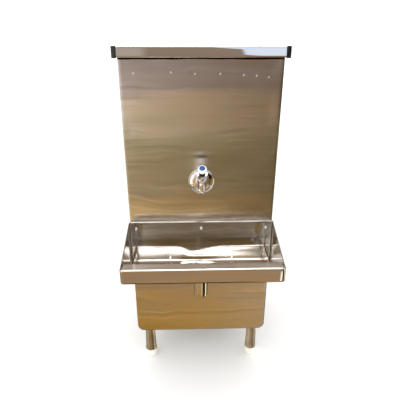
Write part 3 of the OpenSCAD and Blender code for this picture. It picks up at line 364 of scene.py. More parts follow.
class Shape:
    """Collects the corners and faces of one mesh."""

    def __init__(self):
        self.points = []
        self.faces = []

    def add(self, point):
        self.points.append(tuple(point))
        return len(self.points) - 1

    def face(self, *corners):
        self.faces.append(corners)

    def grid(self, rows, keep=lambda i, j: True, closed=False):
        """Faces between rows of point numbers; keep says which cells are filled."""
        for i, (a, b) in enumerate(zip(rows, rows[1:])):
            count = len(a) if closed else len(a) - 1
            for j in range(count):
                k = (j + 1) % len(a)
                if keep(i, j):
                    self.face(a[j], a[k], b[k], b[j])

    def rings(self, rings, closed=True):
        """A skin through rings of 3-D points."""
        rows = [[self.add(p) for p in ring] for ring in rings]
        self.grid(rows, closed=closed)
        return rows

    def cap(self, ring):
        self.face(*ring)

    def lathe(self, profile, matrix, sides=48):
        """Turns (radius, height) points round the matrix's Z axis. A radius of 0 closes the end."""
        rings = []
        for radius, height in profile:
            rings.append([matrix @ Vector((x, y, height)) for x, y in circle(radius, sides)])
        self.rings(rings)

    def block(self, low, high, matrix=Matrix.Identity(4)):
        corners = [
            self.add(matrix @ Vector((x, y, z)))
            for x in (low[0], high[0])
            for y in (low[1], high[1])
            for z in (low[2], high[2])
        ]
        for face in ((0, 1, 3, 2), (4, 6, 7, 5), (0, 4, 5, 1), (2, 3, 7, 6), (0, 2, 6, 4), (1, 5, 7, 3)):
            self.face(*[corners[k] for k in face])


def circle(radius, sides):
    """Points (x, y) round a circle, the first on the X axis."""
    points = []
    for k in range(sides):
        angle = 2 * math.pi * k / sides
        points.append((radius * math.cos(angle), radius * math.sin(angle)))
    return points


def tube(shape, path, radius, sides=12):
    """A round rod along a path of 3-D points, closed at both ends."""
    path = [Vector(p) for p in path]
    side = None
    rings = []
    for i, point in enumerate(path):
        ahead = path[min(i + 1, len(path) - 1)] - path[max(i - 1, 0)]
        ahead.normalize()
        if side is None:
            side = ahead.orthogonal().normalized()
        side = (side - ahead * side.dot(ahead)).normalized()
        across = ahead.cross(side)
        rings.append([point + a * side + b * across for a, b in circle(radius, sides)])
    rows = shape.rings(rings)
    shape.cap(rows[0])
    shape.cap(rows[-1])


def face_outward(work, outward):
    """Turns each joined-up group of faces so that most of its area looks outward."""
    left = set(work.faces)
    while left:
        group = {left.pop()}
        edge_of_group = list(group)
        while edge_of_group:
            face = edge_of_group.pop()
            for edge in face.edges:
                for other in edge.link_faces:
                    if other in left:
                        left.remove(other)
                        group.add(other)
                        edge_of_group.append(other)
        if sum(f.normal.dot(outward) * f.calc_area() for f in group) < 0:
            bmesh.ops.reverse_faces(work, faces=list(group))


def finish_piece(name, shape, slot_name, body, replaced=(), outward=None, thickness=None, sharp=40):
    """Makes the object, with merged corners and outward normals, and sets its finish, body and nodes."""
    mesh = bpy.data.meshes.new(name)
    mesh.from_pydata(shape.points, [], shape.faces)
    mesh.update()
    work = bmesh.new()
    work.from_mesh(mesh)
    bmesh.ops.remove_doubles(work, verts=work.verts, dist=2e-6)
    bmesh.ops.dissolve_degenerate(work, edges=work.edges, dist=1e-7)
    bmesh.ops.recalc_face_normals(work, faces=work.faces)
    if outward is not None:
        face_outward(work, Vector(outward))
    work.to_mesh(mesh)
    work.free()
    mesh.polygons.foreach_set("use_smooth", [True] * len(mesh.polygons))
    mesh.set_sharp_from_angle(angle=math.radians(sharp))
    piece = bpy.data.objects.new(name, mesh)
    bpy.context.scene.collection.objects.link(piece)
    mesh.materials.append(MATERIALS[slot_name])
    if thickness:
        shell = piece.modifiers.new("thickness", "SOLIDIFY")
        shell.thickness = thickness
        shell.offset = -1
    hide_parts(*replaced)
    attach(piece, body)
    return piece


def rounded_rows(half, low, high, r_low, r_high, step, fixed=()):
    """Levels of a plate as (level, half width, normal) with its corners as quarter circles."""
    rows = []
    turn = 7
    if r_low:
        for x, v in arc(half - r_low, low + r_low, r_low, -90, 0, turn)[:-1]:
            rows.append((v, x, ((x - half + r_low) / r_low, (v - low - r_low) / r_low)))
    for v in levels(low + r_low, high - r_high, step, fixed):
        rows.append((v, half, (1.0, 0.0)))
    if r_high:
        for x, v in arc(half - r_high, high - r_high, r_high, 0, 90, turn)[1:]:
            rows.append((v, x, ((x - half + r_high) / r_high, (v - high + r_high) / r_high)))
    return rows


def pan(shape, rows, columns, place, rings, open_top=False, keep=lambda u, v: True):
    """A plate with a folded rim. Columns run from -1 to 1 across each row, place(u, v, depth) gives a 3-D
    point, and rings are the (outward, depth) steps of the fold."""
    numbers = [[shape.add(place(c * half, v, 0.0)) for c in columns] for v, half, _ in rows]

    def filled(i, j):
        v = (rows[i][0] + rows[i + 1][0]) / 2
        u = (columns[j] + columns[j + 1]) / 2 * (rows[i][1] + rows[i + 1][1]) / 2
        return keep(u, v)

    shape.grid(numbers, filled)
    top, last = len(rows) - 1, len(columns) - 1
    rim = []
    for i in range(top, 0, -1):
        rim.append((i, 0, (-rows[i][2][0], rows[i][2][1])))
    for j in range(0, last + 1):
        rim.append((0, j, (0.0, -1.0)))
    for i in range(1, top + 1):
        rim.append((i, last, rows[i][2]))
    if not open_top:
        for j in range(last - 1, 0, -1):
            rim.append((top, j, (0.0, 1.0)))
    previous = [numbers[i][j] for i, j, _ in rim]
    for out, depth in rings:
        ring = []
        for i, j, (nu, nv) in rim:
            v, half, _ = rows[i]
            ring.append(shape.add(place(columns[j] * half + nu * out, v + nv * out, depth)))
        shape.grid([previous, ring], closed=not open_top)
        previous = ring


def fold(radius, depth, count=4):
    """Rings of a right-angled fold of the given radius, down to the given depth."""
    rings = [(radius * math.sin(a), radius * (1 - math.cos(a))) for a in quarter(count)]
    return rings + [(radius, d) for d in levels(radius, depth, 8 * MM)[1:]]


def quarter(count):
    return [math.pi / 2 * (i + 1) / count for i in range(count)]


def even_columns(half, step, fixed=()):
    """Columns from -1 to 1 for a plate of the given half width."""
    return [u / half for u in levels(-half, half, step, fixed)]


# ---------------------------------------------------------------- the frame and its dimensions

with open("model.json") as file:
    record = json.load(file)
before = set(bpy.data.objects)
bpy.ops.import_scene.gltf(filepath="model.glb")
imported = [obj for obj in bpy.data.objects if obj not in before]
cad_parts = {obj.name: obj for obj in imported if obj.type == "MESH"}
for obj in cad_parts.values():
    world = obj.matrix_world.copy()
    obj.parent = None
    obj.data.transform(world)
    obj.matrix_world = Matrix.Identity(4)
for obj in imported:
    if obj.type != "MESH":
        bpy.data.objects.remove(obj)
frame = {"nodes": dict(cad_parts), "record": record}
cad_low, cad_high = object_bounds()

FRONT_LOW, FRONT_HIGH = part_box("front_panel")
HALF_W = FRONT_HIGH.x
FRONT_Y = FRONT_LOW.y
REAR_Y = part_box("rear_panel_lower")[0].y
BOTTOM_Z = FRONT_LOW.z
RIM_Z = FRONT_HIGH.z
SHEET = 1.0 * MM
FOLD_R = 3 * MM
CORNER_R = 26 * MM

# height where the painted shadow under the lid's skirt begins
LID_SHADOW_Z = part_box("lid_shell")[0].z - 7 * MM
# (x, z) of the spot welds that show on the front panel, each dulled and given a painted highlight
WELDS = [(-205, 1124), (-92, 1126), (-20, 1122), (57, 1122), (128, 1118), (168, 1116), (205, 1112)]
WELD_SPOTS = [(x * MM, FRONT_Y, z * MM) for x, z in WELDS]

# the record's slot of each node, and the materials: one for each slot and the variants of the steel
SLOT_OF = {s["node"]: s["material_slot"] for s in frame["record"]["subparts"]}
MATERIALS = make_materials()


# ---------------------------------------------------------------- casing


def front_panel():
    """One sheet: the front face with rolled side edges, rounded bottom corners and folded returns."""
    shape = Shape()
    half = HALF_W - FOLD_R
    rows = rounded_rows(half, BOTTOM_Z + FOLD_R, RIM_Z, CORNER_R - FOLD_R, 0, 9 * MM)
    wave = 1.7 * MM

    def place(u, v, depth):
        inside = min(half - abs(u), v - BOTTOM_Z - FOLD_R, RIM_Z - v)
        dent = wave * ripple(u, v, 3.0) * fade(inside, 40 * MM) if depth == 0 else 0
        return (u, FRONT_Y + depth + dent, v)

    returns = FRONT_HIGH.y - FRONT_Y
    pan(shape, rows, even_columns(half, 8 * MM), place, fold(FOLD_R, returns), open_top=True)
    finish_piece("front_panel_sheet", shape, "front_steel", "cabinet", ["front_panel"], (0, -1, 0), SHEET)


LOUVRE_L = 100 * MM
LOUVRE_H = 6 * MM
LOUVRE_STEP = 22 * MM
LOUVRE_OUT = 6 * MM
LOUVRE_TOP = 15 * MM
LOUVRE_ROWS = 9


def slot_rows(low):
    """Lower edges of the slots in a bank of louvres."""
    return [low + i * LOUVRE_STEP for i in range(LOUVRE_ROWS)]


def slot_sides(banks):
    return [b + d for b in banks for d in (-LOUVRE_L / 2, LOUVRE_L / 2)]


def slot_edges(slots):
    return [z + d for z in slots for d in (0, LOUVRE_H)]


def in_slot(along, up, banks, slots):
    if not any(low < up < low + LOUVRE_H for low in slots):
        return False
    return any(abs(along - bank) < LOUVRE_L / 2 for bank in banks)


def louvre(shape, place, middle, low):
    """One pressed louvre above the slot whose lower edge is at low. place gives a point along, up and out."""
    along, down = 20, 5
    rows = []
    for j in range(down + 1):
        t = j / down
        row = []
        for i in range(along + 1):
            s = 2 * i / along - 1
            out = LOUVRE_OUT * math.sin(math.pi / 2 * t) * (1 - s**6) ** 0.5 - 0.2 * MM
            up = low + LOUVRE_TOP - (LOUVRE_TOP - 0.6 * MM) * t
            row.append(shape.add(place(middle + s * (LOUVRE_L / 2 + 2 * MM), up, out)))
        rows.append(row)
    shape.grid(rows)


def side_panel(sign, node):
    """A side panel: floor flange, rounded bottom edge, louvred side and a folded rear flange."""
    shape = Shape()
    low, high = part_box(node)
    y0, y1 = low.y, high.y
    middle = (FRONT_Y + REAR_Y) / 2
    banks = [middle - 75 * MM, middle + 75 * MM]
    slots = slot_rows(250 * MM)
    arc_x, arc_z = HALF_W - CORNER_R, BOTTOM_Z + CORNER_R
    path = [(186 * MM, BOTTOM_Z), (205 * MM, BOTTOM_Z)] + arc(arc_x, arc_z, CORNER_R, -90, 0, 8)
    first_straight = len(path) - 1
    path += [(HALF_W, z) for z in levels(arc_z, RIM_Z - FOLD_R, 9 * MM, slot_edges(slots))[1:]]
    path += arc(HALF_W - FOLD_R, RIM_Z - FOLD_R, FOLD_R, 0, 90, 4)[1:] + [(234 * MM, RIM_Z)]
    bend = 2 * MM
    columns = [(0.0, y) for y in levels(y0, y1 - bend, 9 * MM, slot_sides(banks))]
    flange = [(bend * (1 - math.cos(a)), y1 - bend + bend * math.sin(a)) for a in quarter(3)]
    flange.append((18 * MM, y1))
    wave = 1.0 * MM
    rows = []
    for k, (x, z) in enumerate(path):
        row = []
        for dx, y in columns + flange:
            straight = first_straight <= k and x == HALF_W
            inside = min(y - y0, y1 - y, z - arc_z, RIM_Z - z)
            dent = dx + wave * ripple(y, z, 11.0 + sign) * fade(inside, 40 * MM) if straight else 0.0
            row.append(shape.add((sign * (x - dent), y if straight or not dx else y1, z)))
        rows.append(row)

    def solid(i, j):
        if j >= len(columns) - 1:
            return True
        z = (path[i][1] + path[i + 1][1]) / 2
        y = (columns[j][1] + columns[j + 1][1]) / 2
        return not in_slot(y, z, banks, slots)

    shape.grid(rows, solid)
    for bank in banks:
        for slot in slots:
            louvre(shape, lambda along, up, out: (sign * (HALF_W + out), along, up), bank, slot)
    finish_piece(node + "_sheet", shape, "stainless", "cabinet", [node], (sign, 0, 0), SHEET)


def rear_panel(node, corner, banks, slots):
    """A flat rear panel, with louvres where the condenser breathes out and rounded lower corners."""
    shape = Shape()
    low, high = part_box(node)
    half = high.x
    rows = rounded_rows(half, low.z, high.z, corner, 0, 12 * MM, slot_edges(slots))
    columns = even_columns(half, 12 * MM, slot_sides(banks))
    face_y = REAR_Y + SHEET
    wave = 0.7 * MM

    def place(u, v, depth):
        inside = min(half - abs(u), v - low.z, high.z - v)
        return (u, face_y + wave * ripple(u, v, 23.0) * fade(inside, 50 * MM) - depth, v)

    def solid(u, v):
        return not in_slot(u, v, banks, slots)

    pan(shape, rows, columns, place, [(0.0, SHEET)], open_top=True, keep=solid)
    for bank in banks:
        for slot in slots:
            louvre(shape, lambda along, up, out: (along, face_y + out, up), bank, slot)
    finish_piece(node + "_sheet", shape, "galvanised", "cabinet", [node], (0, 1, 0), SHEET)


def screw(shape, centre, outward, radius, height):
    """A domed screw head with a cross recess."""
    turn = Vector(outward).to_track_quat("Z", "Y").to_matrix().to_4x4()
    place = Matrix.Translation(centre) @ turn
    sides, steps = 32, 8
    rings = [[place @ Vector((x, y, 0)) for x, y in circle(radius, sides)]]
    for i, angle in enumerate(quarter(steps)):
        reach = radius * math.cos(angle) ** 0.7 if i < steps - 1 else 0.0
        ring = []
        for x, y in circle(reach, sides):
            in_cross = min(abs(x), abs(y)) < radius * 0.13 and max(abs(x), abs(y)) < radius * 0.6
            ring.append(place @ Vector((x, y, height * math.sin(angle) * (0.45 if in_cross else 1.0))))
        rings.append(ring)
    shape.rings(rings)


# ---------------------------------------------------------------- lid


def lid():
    """The lid's folded shell: flat top, rounded corners, slightly flared skirt and an inward hem."""
    shape = Shape()
    low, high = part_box("lid_shell")
    bend = 2.5 * MM
    flare = 1.3 * MM
    radius = 10 * MM
    half = high.x - bend - flare
    depth = high.z - low.z
    edge = bend + flare
    rows = rounded_rows(half, low.y + edge, high.y - edge, radius - bend, radius - bend, 16 * MM)
    wave = 0.9 * MM

    def place(u, v, d):
        inside = min(half - abs(u), v - low.y - bend, high.y - bend - v)
        dent = wave * (ripple(u, v, 31.0) - 0.5) * fade(inside, 60 * MM) if d == 0 else 0.0
        return (u, v, high.z - d + dent)

    rings = [(bend * math.sin(a), bend * (1 - math.cos(a))) for a in quarter(4)]
    steps = levels(bend, depth - bend, 5 * MM)[1:]
    rings += [(bend + flare * (d - bend) / (depth - 2 * bend), d) for d in steps]
    hem = 1.2 * MM
    rings += [(edge - hem * (1 - math.cos(a)), depth - hem + hem * math.sin(a)) for a in quarter(3)]
    rings.append((edge - 8 * MM, depth))
    pan(shape, rows, even_columns(half, 16 * MM), place, rings)
    finish_piece("lid_skin", shape, "lid_steel", "lid", ["lid_shell"], (0, 0, 1), SHEET)


def lid_caps():
    """Moulded guards that wrap each corner of the lid and hook over its edges."""
    shape = Shape()
    low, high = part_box("lid_shell")
    cap_low, cap_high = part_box("lid_corner_caps")
    radius = 10 * MM
    wall = cap_high.x - high.x
    leg = 2 * MM
    lip = 3 * MM
    top, bottom = cap_high.z, cap_low.z
    soft = 1.4 * MM
    outer = arc(wall - soft, top - soft, soft, 90, 0, 3) + arc(wall - soft, bottom + soft, soft, 0, -90, 3)
    inner = [(-lip, bottom), (-lip, low.z - 0.1 * MM), (0.1 * MM, low.z - 0.1 * MM)]
    inner += [(0.1 * MM, high.z + 0.1 * MM), (-lip, high.z + 0.1 * MM), (-lip, top)]
    profile = outer + inner
    for sx in (-1, 1):
        for y, sy in ((low.y, -1), (high.y, 1)):
            cx, cy = high.x - radius, y - sy * radius
            path = [(cx - leg, cy, 90)] + [(cx, cy, 90 - 90 * i / 8) for i in range(9)] + [(cx, cy - leg, 0)]
            rings = []
            for px, py, angle in path:
                nx, ny = math.cos(math.radians(angle)), math.sin(math.radians(angle))
                ring = []
                for out, z in profile:
                    reach = radius + out
                    ring.append((sx * (px + nx * reach), cy + sy * (py - cy + ny * reach), z))
                rings.append(ring)
            rows = shape.rings(rings)
            shape.cap(rows[0])
            shape.cap(rows[-1])
    finish_piece("lid_corner_guards", shape, "black_plastic", "lid", ["lid_corner_caps"], sharp=50)


# ---------------------------------------------------------------- drip tray

SPOUT_LOW, SPOUT_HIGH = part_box("drain_spout")
SPOUT_CENTRE = ((SPOUT_LOW + SPOUT_HIGH) / 2).xy
TRAY_LOW, TRAY_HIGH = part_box("drip_tray")
TRAY_T = 1.2 * MM
TRAY_CORNER = 12 * MM
TRAY_BACK_HALF = TRAY_HIGH.x - 5 * MM
BASIN_FRONT = FRONT_Y - 98 * MM
LEDGE_Y = TRAY_LOW.y + 41 * MM
LEDGE_Z = 562 * MM
BAND_LOW = LEDGE_Z - 48 * MM
SLOPE_FRONT = LEDGE_Y + TRAY_CORNER
TRAY_FLOOR = TRAY_LOW.z
TRAY_TOP = TRAY_HIGH.z - 1.5 * MM


def tray_half(y):
    """Half the tray's width at y, where it widens towards its front."""
    share = (FRONT_Y - y) / (FRONT_Y - TRAY_LOW.y)
    return TRAY_BACK_HALF + (TRAY_HIGH.x - TRAY_BACK_HALF) * share


def tray_rim_z(y):
    """Height of the tray wall's upper edge at y."""
    front = TRAY_LOW.y + TRAY_CORNER
    return LEDGE_Z + (TRAY_TOP - LEDGE_Z) * max(0.0, (y - front) / (FRONT_Y - front))


def tray_skirt_z(y):
    """Height of the tray wall's lower edge at y: the basin floor, its slope, then the band."""
    band_back = TRAY_LOW.y + 2 * TRAY_CORNER
    slope_low = BAND_LOW - 12 * MM
    if y > BASIN_FRONT:
        return TRAY_FLOOR
    if y > SLOPE_FRONT:
        return TRAY_FLOOR + (slope_low - TRAY_FLOOR) * (BASIN_FRONT - y) / (BASIN_FRONT - SLOPE_FRONT)
    if y > band_back:
        return slope_low + (BAND_LOW - slope_low) * (SLOPE_FRONT - y) / (SLOPE_FRONT - band_back)
    return BAND_LOW


def tray_walls():
    """Both side walls and the front band: one strip bent round two corners, with a rolled upper edge."""
    shape = Shape()
    front = TRAY_LOW.y + TRAY_CORNER
    corner_x = TRAY_HIGH.x - TRAY_CORNER
    side = levels(front, FRONT_Y, 6 * MM, [BASIN_FRONT, SLOPE_FRONT])
    path = [(-tray_half(y), y) for y in side[::-1]]
    path += arc(-corner_x, front, TRAY_CORNER, 180, 270, 8)[1:]
    path += [(x, TRAY_LOW.y) for x in levels(-corner_x, corner_x, 9 * MM)[1:]]
    path += arc(corner_x, front, TRAY_CORNER, 270, 360, 8)[1:]
    path += [(tray_half(y), y) for y in side[1:]]
    roll = 1.4 * MM
    hem = 5 * MM
    steps = 12
    rows = []
    count = len(path)
    for i, (x, y) in enumerate(path):
        ax, ay = path[max(0, i - 1)]
        bx, by = path[min(count - 1, i + 1)]
        length = math.hypot(bx - ax, by - ay)
        inward = Vector((-(by - ay), bx - ax, 0)) / length
        low, high = tray_skirt_z(y), tray_rim_z(y)
        wave = 0.35 * MM * ripple(x * 2 + y, 0.3 * x, 41.0)
        row = []
        for k in range(steps + 1):
            z = low + (high - roll - low) * k / steps
            row.append(Vector((x, y, z)) + inward * wave * fade(min(z - low, high - z), 12 * MM))
        for k in range(1, 9):
            angle = math.pi * k / 8
            lift = roll * math.sin(angle)
            row.append(Vector((x, y, high - roll + lift)) + inward * roll * (1 - math.cos(angle)))
        row.append(Vector((x, y, high - roll - hem)) + inward * roll * 2)
        rows.append(row)
    shape.rings(rows, closed=False)
    finish_piece("drip_tray_walls", shape, "bright_steel", "cabinet", outward=(0, -1, 0), thickness=0.9 * MM)


# a dent that bulges from the back plate, longer to its right than to its left
DENT_X = -42 * MM
DENT_Z = 494 * MM
DENT_LEFT = 24 * MM
DENT_RIGHT = 75 * MM
DENT_TALL = 30 * MM
DENT_DEEP = 3.2 * MM


def back_plate_bow(x, z, edge):
    """How far the back plate stands out at x, z: a shallow bow that fades at its edge, and a dent."""
    height = math.sin(math.pi * min(1.0, (z - TRAY_FLOOR - TRAY_T) / (TRAY_TOP - TRAY_FLOOR - TRAY_T)))
    bow = 1.4 * MM * height * (1 - math.exp(-((x - 5 * MM) / (75 * MM)) ** 2)) * fade(edge, 25 * MM)
    wide = DENT_RIGHT if x > DENT_X else DENT_LEFT
    return bow + DENT_DEEP * math.exp(-(((x - DENT_X) / wide) ** 2) - ((z - DENT_Z) / DENT_TALL) ** 2)


def bent(points, radii, steps=8):
    """A line of 2-D points with each inner corner rounded to its radius."""
    line = [Vector(points[0])]
    for a, b, c, radius in zip(points, points[1:], points[2:], radii):
        a, b, c = Vector(a), Vector(b), Vector(c)
        into, out = (b - a).normalized(), (c - b).normalized()
        reach = radius * math.tan(into.angle(out) / 2)
        start, end = b - into * reach, b + out * reach
        for k in range(steps + 1):
            t = k / steps
            line.append(start * (1 - t) ** 2 + b * 2 * t * (1 - t) + end * t**2)
    line.append(Vector(points[-1]))
    return line


def tray_sheet():
    """The folded sheet inside the walls: hemmed back plate, basin floor, slope and ledge."""
    shape = Shape()
    face_y = FRONT_Y - TRAY_T
    bed = TRAY_FLOOR + TRAY_T
    ledge_front = TRAY_LOW.y + 2.6 * MM
    hem = arc(face_y - 1.2 * MM, TRAY_TOP, 1.5 * MM, 150, -30, 8)
    corners = [
        (face_y, TRAY_TOP - 5 * MM), (face_y, bed), (BASIN_FRONT, bed),
        (LEDGE_Y, LEDGE_Z - 0.4 * MM), (ledge_front, LEDGE_Z - 0.4 * MM),
    ]
    line = [Vector((y, z)) for y, z in hem[::-1]] + bent(corners, (4 * MM, 9 * MM, 4 * MM))
    fine = [line[0]]
    for a, b in zip(line, line[1:]):
        count = max(1, round((b - a).length / (7 * MM)))
        fine += [a + (b - a) * (k + 1) / count for k in range(count)]
    run = 0.0
    rows = []
    for i, (y, z) in enumerate(fine):
        run += (fine[i] - fine[i - 1]).length if i else 0.0
        half = tray_half(y) - TRAY_T
        if y < TRAY_LOW.y + TRAY_CORNER:
            inside = TRAY_CORNER - TRAY_T
            half -= inside - math.sqrt(max(0.0, inside**2 - (TRAY_LOW.y + TRAY_CORNER - y) ** 2))
        along = fine[min(i + 1, len(fine) - 1)] - fine[max(i - 1, 0)]
        along.normalize()
        row = []
        for c in even_columns(1.0, 0.03):
            x = c * half
            wave = 0.8 * MM * ripple(x * 1.4, run * 1.5, 53.0) * fade(half - abs(x), 25 * MM)
            wave *= fade(run - 12 * MM, 20 * MM)
            if z > bed + 4 * MM and y > FRONT_Y - 8 * MM:
                wave += back_plate_bow(x, z, half - abs(x))
            row.append(Vector((x, y + along.y * wave, z - along.x * wave)))
        rows.append(row)
    numbers = [[shape.add(p) for p in row] for row in rows]

    def keep(i, j):
        middle = (rows[i][j] + rows[i + 1][j + 1]) / 2
        return middle.z > bed + 4 * MM or (middle.xy - SPOUT_CENTRE).length > 20 * MM

    shape.grid(numbers, keep)
    upward = (0, -1, 1)
    finish_piece("drip_tray_sheet", shape, "tray_steel", "cabinet", ["drip_tray"], upward, 0.9 * MM, sharp=50)


def tray_seams():
    """Thin beads of sealant where the folded sheet meets the side walls."""
    shape = Shape()
    bead = 0.45 * MM
    for side in (-1, 1):
        back_x = side * (tray_half(FRONT_Y) - TRAY_T - 0.4 * MM)
        back_y = FRONT_Y - TRAY_T - 0.4 * MM
        path = [(back_x, back_y, TRAY_TOP - 3 * MM), (back_x, back_y, TRAY_FLOOR + 6 * MM)]
        tube(shape, path, bead, 8)
    finish_piece("drip_tray_seams", shape, "sealant", "cabinet")


def heads(name, node, spots, outward, radius, height):
    """Screw heads at the given places, standing for a node of screws."""
    shape = Shape()
    for spot in spots:
        screw(shape, spot, outward, radius, height)
    finish_piece(name, shape, "chrome", "cabinet", [node], sharp=35)


def tray_and_rear_screws():
    y = FRONT_Y - TRAY_T
    spots = [(x * MM, y, 604 * MM) for x in (-229, 0, 229)] + [(x * MM, y, 486 * MM) for x in (-112, 112)]
    heads("tray_screw_heads", "tray_screws", spots, (0, -1, 0), 5 * MM, 2.8 * MM)
    rows = (210, 440, 670, 730, 940, 1150)
    spots = [(side * (HALF_W - 9 * MM), REAR_Y + SHEET, z * MM) for side in (-1, 1) for z in rows]
    heads("panel_screw_heads", "panel_screws", spots, (0, 1, 0), 4 * MM, 2.4 * MM)


def drain_spout():
    """Drawn tube under the basin, with a rolled lower lip and a shoulder under the nut."""
    shape = Shape()
    outer = (SPOUT_HIGH.x - SPOUT_LOW.x) / 2
    inner = outer - 1.6 * MM
    length = SPOUT_HIGH.z - SPOUT_LOW.z
    profile = [(inner, length - 4 * MM), (inner, 3 * MM)]
    profile += arc(outer - 0.9 * MM, 0.9 * MM, 0.9 * MM, 180, 360, 8)
    profile += [(outer - 0.25 * MM, 2.4 * MM), (outer, 3.2 * MM)]
    profile += [(outer, z) for z in levels(3.2 * MM, length - 3 * MM, 8 * MM)[1:]]
    profile += arc(outer - 3 * MM, length - 3 * MM, 3 * MM, 0, 90, 5)[1:] + [(18.3 * MM, length)]
    shape.lathe(profile, Matrix.Translation((*SPOUT_CENTRE, SPOUT_LOW.z)), 96)
    finish_piece("drain_spout_tube", shape, "spout_steel", "cabinet", ["drain_spout"], sharp=50)


# ---------------------------------------------------------------- legs and shoes

# (x, y, width) of each shoe
FEET = {}
for node in ("foot_front_left", "foot_front_right", "foot_rear_left", "foot_rear_right"):
    foot_low, foot_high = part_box(node)
    FEET[node] = (*((foot_low + foot_high) / 2).xy, foot_high.x - foot_low.x)


def legs():
    """Four slightly tapered tubes, each with a small weld bead under the cabinet."""
    shape = Shape()
    low, top = 14 * MM, BOTTOM_Z
    wide, narrow = 22 * MM, 18.5 * MM
    for x, y, _ in FEET.values():
        profile = [(0, low), (wide - 2 * MM, low), (wide, low + 2 * MM)]
        for z in levels(low + 2 * MM, top - 3 * MM, 6 * MM)[1:]:
            profile.append((wide + (narrow - wide) * (z - low) / (top - low), z))
        profile += [(narrow + 0.5 * MM, top - 2 * MM), (narrow + 1.3 * MM, top - 0.9 * MM)]
        profile += [(narrow + 1.6 * MM, top), (0, top)]
        shape.lathe(profile, Matrix.Translation((x, y, 0)), 64)
    finish_piece("leg_tube_set", shape, "leg_steel", "cabinet", ["leg_tubes"], sharp=50)


def shoes():
    """Moulded shoes with a soft foot, a grip groove and an open rim round each leg."""
    height = 34 * MM
    for node, (x, y, width) in FEET.items():
        shape = Shape()
        outer = width / 2
        inner = 22.3 * MM
        toe = 6 * MM
        profile = [(0, 1.0 * MM), (8 * MM, 1.0 * MM), (9 * MM, 0.0), (outer - toe, 0.0)]
        profile += arc(outer - toe, toe, toe, -90, 0, 8)[1:]
        profile += [(outer - 0.1 * MM, 20 * MM), (outer - 0.9 * MM, 21 * MM), (outer - 0.9 * MM, 22.6 * MM)]
        profile += [(outer - 0.1 * MM, 23.6 * MM), (outer, 25 * MM)]
        profile += arc(outer - 1.2 * MM, height - 1.2 * MM, 1.2 * MM, 0, 90, 4)
        profile += [(inner + 0.4 * MM, height), (inner, height - 0.5 * MM), (inner, 12 * MM), (0, 12 * MM)]
        shape.lathe(profile, Matrix.Translation((x, y, 0)), 64)
        finish_piece(node + "_shoe", shape, "white_plastic", node, [node], sharp=50)


# ---------------------------------------------------------------- tap

TAP_Z = 780 * MM
TAP_LEAN = Matrix.Rotation(math.radians(34), 4, "X")
TAP_AXIS = Matrix.Translation((0, FRONT_Y - 42 * MM, TAP_Z + 3 * MM)) @ TAP_LEAN
FACE_FORWARD = Matrix.Rotation(math.radians(90), 4, "X")
FACE_BACK = Matrix.Rotation(math.radians(-90), 4, "X")
TAP_WALL = Matrix.Translation((0, FRONT_Y, TAP_Z)) @ FACE_FORWARD
NOZZLE_AXIS = Matrix.Translation((0, FRONT_Y - 76 * MM, 794 * MM)) @ Matrix.Rotation(math.radians(-5), 4, "Y")


def millimetres(profile):
    return [(r * MM, h * MM) for r, h in profile]


def tap_flange():
    """Pressed wall flange: rolled rim, a shallow groove, then a dome up to the pipe."""
    shape = Shape()
    profile = [(42.6, 0), (43, 0.6)] + arc(41.4, 2.4, 1.6, 0, 165, 9) + [(39.5, 2.0), (38.9, 1.8)]
    profile += [(38.4 - 9.0 * i / 6, 1.9 + 3.9 * i / 6) for i in range(7)]
    profile += [(29.4 - 10.4 * i / 6, 5.8 + 1.2 * i / 6) for i in range(1, 7)]
    profile += [(19 - 5.6 * i / 8, 7.0 + 2.0 * i / 8 + 5.45 * (i / 8) ** 2) for i in range(1, 9)]
    profile += arc(12.6, 13.7, 1.3, 80, 180, 5) + [(11.2, 11), (11.2, 0)]
    shape.lathe(millimetres(profile), TAP_WALL, 96)
    finish_piece("tap_flange_dome", shape, "chrome", "cabinet", ["tap_flange"], sharp=60)


def remeshed(name, shape, voxel, smoothing):
    """One smooth skin round several overlapping closed shapes."""
    mesh = bpy.data.meshes.new(name)
    mesh.from_pydata(shape.points, [], shape.faces)
    work = bmesh.new()
    work.from_mesh(mesh)
    bmesh.ops.remove_doubles(work, verts=work.verts, dist=2e-6)
    bmesh.ops.recalc_face_normals(work, faces=work.faces)
    work.to_mesh(mesh)
    work.free()
    rough = bpy.data.objects.new(name, mesh)
    bpy.context.scene.collection.objects.link(rough)
    fuse = rough.modifiers.new("fuse", "REMESH")
    fuse.mode = "VOXEL"
    fuse.voxel_size = voxel
    calm = rough.modifiers.new("calm", "SMOOTH")
    calm.factor = 0.5
    calm.iterations = smoothing
    bpy.context.view_layer.update()
    evaluated = rough.evaluated_get(bpy.context.evaluated_depsgraph_get())
    skin = bpy.data.meshes.new_from_object(evaluated)
    bpy.data.objects.remove(rough)
    result = Shape()
    result.points = [tuple(v.co) for v in skin.vertices]
    result.faces = [tuple(p.vertices) for p in skin.polygons]
    bpy.data.meshes.remove(skin)
    return result


